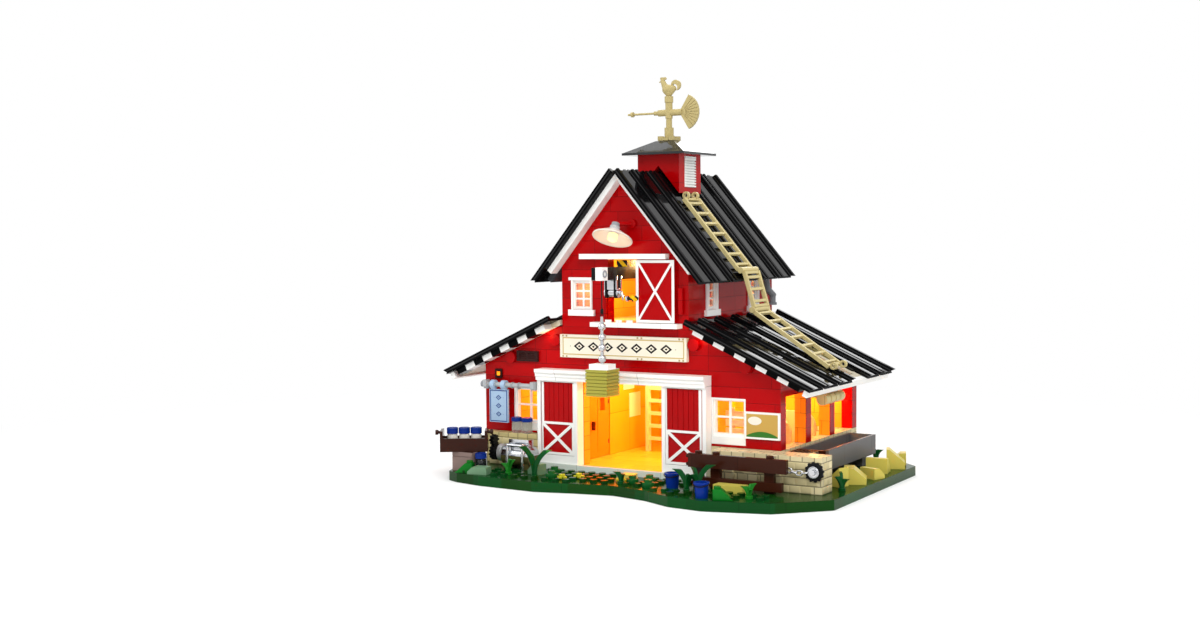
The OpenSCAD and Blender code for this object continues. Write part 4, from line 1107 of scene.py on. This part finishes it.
@dataclass
class Jars:
    """The milk jars with their ribbed screw lids, on the tray, the ledge and the ground."""

    radius: float = 3.9
    lid_lip: float = 0.35
    neck: float = 0.8
    tray: Point = (-104.6, -36.0, 20.8)
    tray_turn: float = 33.0
    pitch: float = 8.0
    ledge: tuple[Point, ...] = ((-83.4, -4.0, 28.8), (-75.0, -4.0, 28.8))
    ground: Point = (-88.6, -39.4, 6.4)

    def glass(self, name: str, height: float) -> Piece:
        """One jar's body: round shoulders and a neck under the lid."""
        body = drum(name, (0, 0, 0), self.radius - self.lid_lip, height)
        carve(body, UP, 0.6, 0.5, pull=(0, 0, self.neck))
        return soften(body, 0.4, 3)

    def lid(self, name: str, base: float, height: float) -> Piece:
        """One lid: grip ribs round its side and a shallow dish in its top."""
        lid = drum(name, (0, 0, base), self.radius, height, sides=40)
        carve(lid, upright, 0.1, -0.12, each=True)
        carve(lid, UP, 0.7, pull=(0, 0, -0.3))
        return soften(lid, 0.08, 1)

    def build(self) -> None:
        """Sets all six jars in place of the CAD ones."""
        tray = moved(*self.tray) @ moved(turn=self.tray_turn)
        row = [tray @ moved(i * self.pitch) for i in (-1, 0, 1)]
        ledge = [moved(*place) for place in self.ledge]
        sets = (
            ("tray", 10.0, 14.0, row, MILK),
            ("ledge", 7.9, 10.5, ledge, CLEAR_JAR),
            ("ground", 9.0, 12.4, [moved(*self.ground)], DARK_JAR),
        )
        for name, shoulder, top, places, contents in sets:
            body = repeat(self.glass(f"{name}_jars", shoulder - self.neck), places)
            deliver(body, contents)
            lid = repeat(self.lid(f"{name}_jar_lids", shoulder, top - shoulder), places)
            deliver(lid, LID_BLUE)
            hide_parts("milk_jars")


@dataclass
class YardLamp:
    """The lamp over the loft door: its bulb, its rolled rim and its socket."""

    bulb: Pair = (3.3, 4.0)
    rim_radius: float = 12.9
    rim_z: float = -2.5
    socket: Pair = (3.4, 2.8)

    def build(self) -> None:
        """Adds the three pieces on the tilted lamp."""
        tilted = Matrix.Translation(LAMP_AT) @ Matrix.Rotation(math.radians(LAMP_TILT), 4, "X")
        bulb = drum("lamp_bulb", (0, 0, -3.7), *self.bulb, sides=24)
        carve(bulb, DOWN, 0.9, 0.7)
        carve(bulb, DOWN, 1.0, 0.25)
        deliver(repeat(soften(bulb, 0.3, 3), [tilted]), BULB)
        rim = hoop("lamp_rim", (0, 0, self.rim_z), self.rim_radius, 0.5, (0, 0, 0))
        with editing(rim):
            bpy.ops.transform.resize(value=(1, 1, 0.8), center_override=(0, 0, self.rim_z * MM))
        deliver(repeat(rim, [tilted]), LAMP_WHITE)
        socket = drum("lamp_socket", (0, 0, 3.1), *self.socket, sides=24)
        carve(socket, upright, 0.2, -0.2, each=True)
        carve(socket, UP, 0.75, pull=(0, 0, 2.4))
        deliver(repeat(soften(socket, 0.12, 1), [tilted]), PALE_GREY)


@dataclass
class Hoist:
    """What the boom carries: its end block, the string, the winch bushes and the collar."""

    tip: float = -34.0
    boom_z: float = 135.0
    axle: Point = (0.0, -14.0, 126.4)
    handle_drop: float = 3.6
    string_at: Pair = (0.0, -28.0)
    string_ends: Pair = (111.65, 134.95)
    knot: float = 3.0
    string_radius: float = 0.4
    turns: int = 4
    turn_pitch: float = 0.62
    tail_spread: float = 1.15
    bush_at: Pair = (-4.9, 4.02)
    strut_at: Pair = (-3.2, 2.4)
    strut_half: float = 4.7
    collar_x: float = 10.2

    def string(self) -> None:
        """The string with its knot and two tails, in place of the CAD string."""
        (x, y), (low, top) = self.string_at, self.string_ends
        name, foot = "hoist_cord", low + self.knot
        parts = [drum(name, (x, y, foot), self.string_radius, top - low - self.knot, sides=12)]
        for i in range(self.turns):
            at, lean = (x, y, low + 2.6 + self.turn_pitch * i), (14, 9 - 18 * (i % 2), 0)
            parts.append(hoop(name, at, 0.75, 0.42, lean))
        for side in (-1, 1):
            tail = drum(name, (x, y, low + 0.1), 0.38, 2.9, sides=10)
            with editing(tail):
                pick(tail, DOWN)
                bpy.ops.transform.translate(value=(side * self.tail_spread * MM, 0, 0))
            parts.append(tail)
        piece = joined(name, parts)
        smooth(piece, STRING_BLACK)
        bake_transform(piece)
        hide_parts("hoist_string")
        LOG.info("%s: between %s and %s", piece.name, Body.BARN.value, Body.LOAD.value)

    def build(self) -> None:
        """Adds the block, the string, the bushes, the struts and the collar."""
        z = self.boom_z
        end = block("boom_block", (-0.6, self.tip - 0.9, z - 0.2), (4.3, self.tip + 6.6, z + 8.2))
        carve(end, lambda at, way: RIGHT(at, way) or FRONT(at, way), 0.8, -0.18, each=True)
        deliver(soften(end, 0.22), SHELL_WHITE)
        eye = ring("boom_eye", (3.9, self.tip + 2.8, z + 4.0), 2.4, 1.5, 0.9, Axis.X, 24)
        deliver(soften(eye, 0.15), PALE_GREY)
        self.string()
        x, y, height = self.axle
        sides = [
            ring("winch_bushes", (x + side, y, height), 3.2, 1.7, 0.9, Axis.X, 24)
            for side in self.bush_at
        ]
        deliver(soften(joined("winch_bushes", sides), 0.12), CHROME)
        low, high = (x - self.strut_half, height + 2.0), (x + self.strut_half, z + 2.2)
        struts = [
            block("winch_struts", (low[0], y + at, low[1]), (high[0], y + at + 1.6, high[1]))
            for at in self.strut_at
        ]
        deliver(soften(joined("winch_struts", struts), 0.2), CHROME)
        at = (self.collar_x, y, height - self.handle_drop)
        collar = ring("crank_collar", at, 1.9, 1.0, 1.4, Axis.X, 20)
        deliver(soften(collar, 0.2), CHROME, Body.CRANK)


@dataclass
class Roofs:
    """What lies on the roof decks: strips of small tiles in the gaps and one grey patch."""

    front: float = 13.0
    pitch: float = 24.4
    plank: float = 22.0
    thick: float = 3.6
    tile: float = 15.6
    tile_pitch: float = 16.0
    first_tile: float = 4.0
    gaps: int = 5
    tiles: int = 5
    play: float = 0.3
    patch: Pair = (58.0, 90.0)
    patch_row: int = 3
    patch_half: float = 5.8
    patch_height: Pair = (-1.9, -0.9)

    def slope(self, roof: Slope, mirrored: bool = False) -> Matrix:
        """The place of a roof: X runs down the slope and Z out of it."""
        x, z, angle = roof
        half = moved(turn=180.0 if mirrored else 0.0)
        return half @ Matrix.Translation((x, 0.0, z)) @ Matrix.Rotation(math.radians(angle), 4, "Y")

    def strips(self, name: str, roof: Slope) -> None:
        """Fills the gaps between a roof's planks on both sides of the barn."""
        gap = self.pitch - self.plank
        width = gap - self.play
        tile = block(name, (0, -width / 2, -self.thick - 0.05), (self.tile, width / 2, -2.3))
        carve(tile, UP, 0.35, 0.3)
        soften(tile, 0.12, 1)
        places = []
        for mirrored in (False, True):
            for row in range(1, self.gaps + 1):
                y = row * self.pitch - gap / 2 - self.front
                for step in range(self.tiles):
                    along = self.first_tile + step * self.tile_pitch
                    places.append(self.slope(roof, mirrored) @ moved(along, -y if mirrored else y))
        deliver(repeat(tile, places), STRIP_TILES)

    def build(self) -> None:
        """Adds the strips and the patch."""
        self.strips("main_gap_tiles", MAIN_SLOPE)
        self.strips("side_gap_tiles", SIDE_SLOPE)
        row = self.patch_row * self.pitch + self.plank / 2 - self.front
        (start, end), (low, high), half = self.patch, self.patch_height, self.patch_half
        patch = block("roof_patch", (start, row - half, low), (end, row + half, high))
        carve(patch, UP, 0.8, -0.15)
        soften(patch, 0.2)
        deliver(repeat(patch, [self.slope(MAIN_SLOPE)]), PATCH_GREY)


@dataclass
class Garden:
    """Slope bricks, round plates and flowers on the studs in front of the barn."""

    ground: float = 6.4
    slopes: tuple[Point, ...] = ((-97.0, -46.5, 200.0), (100.0, -56.0, 20.0))
    rounds: tuple[Pair, ...] = ((-32, -40), (-40, -24), (24, -32), (32, -24), (40, -40))
    flowers: tuple[Pair, ...] = ((-24, -40), (16, -32), (-16, -32))
    brick: Point = (6.0, 4.0, 6.4)
    crown: float = 0.4
    notch: float = 0.38

    def slope(self) -> Piece:
        """A slope brick: its top is drawn back to one side and keeps a stud."""
        x, y, z = self.brick
        brick = block("garden_slopes", (-x, -y, 0), (x, y, z))
        with editing(brick):
            pick(brick, UP)
            bpy.ops.transform.resize(value=(self.crown, 1, 1), center_override=(-x * MM, 0, z * MM))
        stud = soften(drum("stud", (-3.6, 0, 6.3), 2.2, 1.7, sides=20), 0.2)
        return joined("garden_slopes", [soften(brick), stud])

    def flower(self) -> Piece:
        """A flower plate: four round petals about a stud."""
        bloom = drum("garden_flowers", (0, 0, 0.4), 3.6, 1.4)
        with editing(bloom):
            mesh = bmesh.from_edit_mesh(bloom.data)
            for vertex in mesh.verts:
                angle = math.atan2(vertex.co.y, vertex.co.x)
                vertex.co.xy *= 1.0 - self.notch * abs(math.sin(2 * angle)) ** 3
            bmesh.update_edit_mesh(bloom.data)
        heart = soften(drum("heart", (0, 0, 1.7), 2.0, 1.5, sides=20), 0.2)
        return joined("garden_flowers", [soften(bloom), heart])

    def build(self) -> None:
        """Adds the slopes, round plates and flowers."""
        places = [moved(x, y, self.ground, turn) for x, y, turn in self.slopes]
        deliver(repeat(self.slope(), places), BRIGHT_GREEN)
        plate = drum("round_plates", (0, 0, 0), 3.9, 3.2, sides=28)
        carve(plate, UP, 1.5, pull=(0, 0, 1.7))
        soften(plate, 0.2)
        places = [moved(x, y, self.ground) for x, y in self.rounds]
        deliver(repeat(plate, places), LEAF_GREEN)
        places = [moved(x, y, self.ground + 0.2, 18 * i) for i, (x, y) in enumerate(self.flowers)]
        deliver(repeat(self.flower(), places), PETAL_YELLOW)


@dataclass
class Masonry:
    """The pillowed stones moulded on the faces of the low walls."""

    length: float = 7.5
    course: float = 4.8
    foot: float = 6.4
    rows: int = 4
    stand: float = 0.45
    joint: float = 0.3
    bed: float = 0.15
    log_z: float = 14.4
    logs: tuple[float, ...] = (84.0, 100.0, 116.0)
    log_reach: float = 6.4
    boss: Point = (141.6, 20.3, 7.0)

    def stone(self, name: str) -> Piece:
        """One stone that stands out of a wall towards -Y."""
        stone = block(
            name, (0.25, -self.bed, self.joint), (self.length - 0.25, 0.1, self.course - self.joint)
        )
        carve(stone, FRONT, 0.35, self.stand - self.bed)
        return soften(stone, 0.14, 1)

    def covered(self, x: float, z: float) -> bool:
        """True where a log end or the chain's boss takes the stone's place."""
        ends = [(log, self.log_z, self.log_reach) for log in self.logs] + [self.boss]
        return any(math.hypot(x - middle, z - height) < reach for middle, height, reach in ends)

    def courses(self, corner: Point, run: float, skip: bool = False) -> list[Matrix]:
        """Lays the stones of one face.

        Args:
            corner: X and Y of the face's left corner, seen from outside, in millimetres, and
                how far the face is turned from the front, in degrees.
            run: the face's length in millimetres.
            skip: leaves out the stones that a log end covers.

        Returns:
            The stones' places.
        """
        x, y, turn = corner
        places = []
        for row in range(self.rows):
            shift = self.length / 2 if row % 2 else 0.0
            z = self.foot + row * self.course
            for step in range(int((run - shift) / self.length)):
                along = shift + step * self.length
                middle = x + along + self.length / 2, z + self.course / 2
                if not (skip and self.covered(*middle)):
                    places.append(moved(x, y, z, turn) @ moved(along))
        return places

    def build(self) -> None:
        """Lays the stones on the yard wall, the ledge and the barn's sides."""
        yard = self.courses((72, -16, 0), 74, skip=True)
        yard += self.courses((146, -16, 90), 16) + self.courses((112, 112, 90), 16)
        deliver(repeat(self.stone("yard_stones"), yard), STONE_TAN)
        house = self.courses((-104, -8, 0), 40) + self.courses((-112, 128, -90), 128)
        house += self.courses((112, 128, 180), 224)
        deliver(repeat(self.stone("house_stones"), house), STONE_TAN)


@dataclass
class Rooms:
    """What shows through the doorway and the windows."""

    wall: float = -40.0
    pane_z: Pair = (114.1, 133.7)
    side_windows: Pair = (24.0, 88.0)
    hinge_z: Pair = (18.0, 46.0)
    board_z: tuple[float, ...] = (34.5, 40.0, 45.5)
    papers: tuple[tuple[str, Pair, Pair], ...] = (
        ("wall_paper_low", (75.2, 90.8), (33.0, 50.2)),
        ("wall_paper_high", (67.0, 82.0), (53.4, 61.0)),
    )

    def paper(self, name: str, y: Pair, z: Pair) -> None:
        """A sheet in a white frame on the aisle's left wall."""
        sheet = block(name, (self.wall - 0.05, y[0], z[0]), (self.wall + 0.5, y[1], z[1]))
        carve(sheet, RIGHT, 0.9, -0.2)
        deliver(soften(sheet, 0.08, 1), PAPER)

    def panes(self) -> None:
        """A clear pane among the bars of each loft window, with a rebate round its edge."""
        name, (low, high) = "loft_panes", self.pane_z
        panes = [block(name, (-38.9, 1.8, low), (-25.1, 2.3, high))]
        for y in self.side_windows:
            panes.append(block(name, (45.7, y + 1.1, low), (46.2, y + 14.9, high)))
        for pane in panes:
            carve(pane, upright, 0.12, -0.06)
        deliver(joined(name, panes), PANE)

    def build(self) -> None:
        """Adds the panes, the papers, the door's hinges and the boards behind the window."""
        self.panes()
        for paper in self.papers:
            self.paper(*paper)
        hinges = [
            ring("door_hinges", (self.wall - 1.5, 46.2, z), 1.75, 1.4, 3.0, sides=16)
            for z in self.hinge_z
        ]
        deliver(joined("door_hinges", hinges), HINGE_BROWN, Body.INNER)
        name = "stall_boards"
        boards = [block(name, (66.0, 16.0, z), (86.0, 17.6, z + 4.4)) for z in self.board_z]
        boards.append(block(name, (68.0, 17.5, 9.7), (71.0, 20.0, 52.0)))
        deliver(soften(joined(name, boards), 0.25), SHELL_CREAM)


@dataclass
class Yard:
    """Small parts in the yard: post studs, fence pegs, bucket bails, vent slats and the boss."""

    fence_x: float = 61.6
    fence_y: float = -28.0
    post_top: float = 27.35
    posts: tuple[float, ...] = (66.8, 78.8, 115.2)
    pegs: tuple[Pair, ...] = ((0.0, 21.0), (0.0, 26.0), (3.0, 9.6), (3.0, 12.6))
    buckets: tuple[Pair, ...] = ((54.0, -34.5), (86.0, -57.0))
    bail_z: float = 15.2
    vents: Pair = (-82.1, -75.1)
    slats: int = 4
    slat_z: float = 79.4
    slat_pitch: float = 1.2
    boss: Point = (141.6, -16.0, 20.3)
    teeth: int = 12

    def studs(self) -> None:
        """Studs on the fence's posts and pegs at its left end."""
        stud = soften(drum("fence_studs", (0, 0, 0), 2.3, 1.8, sides=24), 0.2)
        places = [moved(x, self.fence_y + 4.8, self.post_top) for x in self.posts]
        deliver(repeat(stud, places), POST_BROWN)
        peg = drum("fence_pegs", (-1.6, 0, 0), 1.1, 1.7, Axis.X, 20)
        carve(peg, LEFT, 0.35, 0.3)
        soften(peg, 0.12, 1)
        places = [moved(self.fence_x + x, self.fence_y + 1.6, z) for x, z in self.pegs]
        deliver(repeat(peg, places), POST_BROWN)

    def bails(self) -> None:
        """A wire bail that lies against each bucket's rim."""
        bails = []
        for x, y in self.buckets:
            bails.append(hoop("bucket_bails", (x, y, self.bail_z), 5.15, 0.32, (18, 0, 0)))
            middle = (x * MM, y * MM, self.bail_z * MM)
            with editing(bails[-1]):
                bpy.ops.mesh.bisect(
                    plane_co=middle, plane_no=(0, 1, 0), use_fill=True, clear_outer=True
                )
        deliver(joined("bucket_bails", bails), RUBBER_BLACK)

    def vent(self) -> None:
        """Slanted slats in the vent's two openings."""
        slat = block("vent_slats", (0, -0.5, 0), (5.2, 0.5, 0.5))
        with editing(slat):
            pick(slat, FRONT)
            move = (0, -0.3 * MM, -0.5 * MM)
            bpy.ops.mesh.extrude_region_move(TRANSFORM_OT_translate={"value": move})
        soften(slat, 0.08, 1)
        heights = [self.slat_z + self.slat_pitch * row for row in range(self.slats)]
        places = [moved(x, -1.1, z) for x in self.vents for z in heights]
        deliver(repeat(slat, places), VENT_BROWN)

    def tooth(self, at: Vector, normal: Vector) -> bool:
        """The test for every other face round the boss's collar."""
        x, _, z = self.boss
        outside = abs(normal.y) < ACROSS and math.hypot(at.x - x, at.z - z) > 5.0
        step = math.pi / self.teeth
        return outside and round(math.atan2(at.z - z, at.x - x) / step - 0.5) % 2 == 0

    def cog(self) -> None:
        """The black toothed collar round the boss, and its bright ring."""
        x, y, z = self.boss
        collar = ring("boss_collar", (x, y - 1.9, z), 5.6, 4.0, 1.9, Axis.Y, 2 * self.teeth)
        carve(collar, self.tooth, 0.12, 0.7, each=True)
        deliver(soften(collar, 0.12, 1), RUBBER_BLACK)
        bright = ring("boss_ring", (x, y - 3.2, z), 3.7, 2.9, 1.5, Axis.Y)
        deliver(soften(bright, 0.25), CHROME)

    def build(self) -> None:
        """Adds all the yard's small parts."""
        self.studs()
        self.bails()
        self.vent()
        self.cog()


@dataclass
class Signs:
    """Round-headed rivets on the long sign and rings on the sign's bar."""

    columns: tuple[float, ...] = (-45.6, -42.8, 12.0, 15.0, 42.8, 45.6)
    lines: Pair = (82.85, 96.55)
    face: float = -3.2
    bar: Pair = (-8.0, 61.7)
    bar_rings: tuple[float, ...] = (-109.4, -84.5, -79.0)

    def build(self) -> None:
        """Adds the rivets and the rings."""
        rivet = soften(drum("sign_rivets", (0, self.face - 0.35, 0), 0.62, 0.5, Axis.Y, 16), 0.15)
        places = [moved(x, 0, z) for x in self.columns for z in self.lines]
        deliver(repeat(rivet, places), RIVET_TAN)
        rings = [
            ring("bar_rings", (x, *self.bar), 2.15, 1.55, 1.2, Axis.X, 24) for x in self.bar_rings
        ]
        deliver(soften(joined("bar_rings", rings), 0.15), PALE_GREY)


# ---------------------------------------------------------------- studio


@dataclass
class Studio:
    """The pale floor, the soft lamps and the camera."""

    eye: Point = (0.4855, -0.8336, 0.1644)
    yaw: float = 31.15
    pitch: float = 3.15
    roll: float = -0.50
    focal_px: float = 1468.9
    width_px: int = 1200
    sensor: float = 36.0
    sky: float = 0.55
    floor_grey: float = 0.93
    floor_fades: Pair = (180.0, 620.0)
    bulb_size: float = 0.006

    def hang(self, name: str, data: Any) -> Piece:
        """Links a camera or a lamp to the scene."""
        holder = bpy.data.objects.new(name, data)
        bpy.context.scene.collection.objects.link(holder)
        return holder

    def camera(self) -> None:
        """Stands the camera where the photograph was taken."""
        data = bpy.data.cameras.new("studio_camera")
        data.sensor_fit = "HORIZONTAL"
        data.sensor_width = self.sensor
        data.lens = self.focal_px / self.width_px * self.sensor
        data.clip_start, data.clip_end = 0.01, 20.0
        holder = self.hang("studio_camera", data)
        yaw, pitch, roll = (math.radians(a) for a in (self.yaw, self.pitch, self.roll))
        forward = Vector(
            (-math.sin(yaw) * math.cos(pitch), math.cos(yaw) * math.cos(pitch), -math.sin(pitch))
        )
        right = Vector((math.cos(yaw), math.sin(yaw), 0.0))
        up = right.cross(forward)
        across = right * math.cos(roll) + up * math.sin(roll)
        upright = up * math.cos(roll) - right * math.sin(roll)
        turn = Matrix((across, upright, -forward)).transposed()
        holder.matrix_world = Matrix.Translation(Vector(self.eye)) @ turn.to_4x4()
        bpy.context.scene.camera = holder

    def lamp(
        self, name: str, at: Point, aim: Point, size: Pair, power: float
    ) -> None:
        """Adds one soft box lamp."""
        data = bpy.data.lights.new(name, "AREA")
        data.shape = "RECTANGLE"
        data.size, data.size_y = size
        data.energy = power
        holder = self.hang(name, data)
        holder.location = at
        holder.visible_camera = False
        direction = Vector(aim) - Vector(at)
        holder.rotation_euler = direction.to_track_quat("-Z", "Y").to_euler()

    def bulb(self, name: str, at: Point, power: float) -> None:
        """Adds one small warm lamp inside the barn."""
        data = bpy.data.lights.new(name, "POINT")
        data.energy = power
        data.color = WARM_LIGHT
        data.shadow_soft_size = self.bulb_size
        self.hang(name, data).location = at

    def world(self) -> None:
        """White to the camera and in reflections, softer as a light."""
        world = bpy.data.worlds.new("studio_world")
        bpy.context.scene.world = world
        world.use_nodes = True
        tree = world.node_tree
        tree.nodes.clear()
        soft, white = (
            add_node(tree, "ShaderNodeBackground", {}, {0: (1.0, 1.0, 1.0), "Strength": power})
            for power in (self.sky, 1.0)
        )
        mixed = add_node(
            tree, "ShaderNodeMixShader", {}, {0: seen_plainly(tree), 1: soft, 2: white}
        )
        add_node(tree, "ShaderNodeOutputWorld", {}, {"Surface": mixed})

    def floor(self) -> None:
        """A plain pale floor that keeps the object's soft shadow."""
        clear_selection()
        bpy.ops.mesh.primitive_plane_add(size=8.0, location=(0.0, 0.0, 0.0))
        floor = bpy.context.active_object
        floor.name = "studio_floor"
        shade = Shade("studio_floor")
        grey = (self.floor_grey,) * 3
        shade.fill({"Base Color": grey, "Roughness": 0.9, "Specular IOR Level": 0.0})
        x, y, _ = shade.place()
        across = {0: shade.vector(x, y, 0.0)}
        reach = shade.out("ShaderNodeVectorMath", {"operation": "LENGTH"}, across, 1)
        seen = Term(shade, seen_plainly(shade.tree).outputs[0]) * reach.ramp(*self.floor_fades)
        sockets = {0: (1.0, 1.0, 1.0), "Strength": 1.0}
        white = shade.out("ShaderNodeEmission", {}, sockets)
        blend = shade.out("ShaderNodeMixShader", {}, {0: seen, 1: shade.surface, 2: white})
        feed(shade.tree, shade.end.inputs[0], blend)
        floor.data.materials.append(shade.material)

    def build(self) -> None:
        """Sets up the whole studio."""
        bpy.context.scene.view_settings.view_transform = "Standard"
        self.camera()
        self.world()
        self.floor()
        middle = (0.0, 0.0, 0.1)
        for name, at, aim, size, power in (
            ("key_box", (1.1, -1.3, 1.5), middle, (1.2, 1.2), 28.0),
            ("left_box", (-1.6, -1.0, 1.0), middle, (1.2, 1.2), 12.0),
            ("top_box", (0.0, 0.2, 1.8), middle, (1.6, 1.6), 12.0),
            ("back_box", (-0.56, 1.43, 0.83), (0.0, 0.06, 0.15), (1.0, 0.5), 4.5),
        ):
            self.lamp(name, at, aim, size, power)
        for name, at, power in (
            ("aisle_bulb", (0.004, 0.055, 0.092), 0.22),
            ("left_bulb", (-0.074, 0.05, 0.066), 0.08),
            ("stable_bulb", (0.062, 0.06, 0.076), 0.1),
            ("stable_bulb_back", (0.094, 0.1, 0.066), 0.06),
            ("loft_bulb", (0.022, 0.05, 0.146), 0.15),
            ("loft_bulb_left", (-0.026, 0.034, 0.128), 0.05),
            ("lamp_light", (0.0, -0.0165, 0.1555), 0.0018),
            ("eave_light", (-0.057, -0.0045, 0.097), 0.004),
            ("eave_light", (0.057, -0.0045, 0.097), 0.004),
        ):
            self.bulb(name, at, power)


def main() -> None:
    """Dresses the barn and sets up the studio."""
    logging.basicConfig(level=logging.INFO, format="%(name)s: %(message)s")
    for name, node in frame["nodes"].items():
        finish = FINISHES.get(name)
        if finish is None:
            LOG.info("%s has no finish of its own: pieces stand for it", name)
            continue
        dress(node, finish)
        LOG.info("%s: %s", name, finish.name)
    for part in (Jars, YardLamp, Hoist, Roofs, Garden, Masonry, Rooms, Yard, Signs, Studio):
        part().build()


if __name__ == "__main__":
    main()
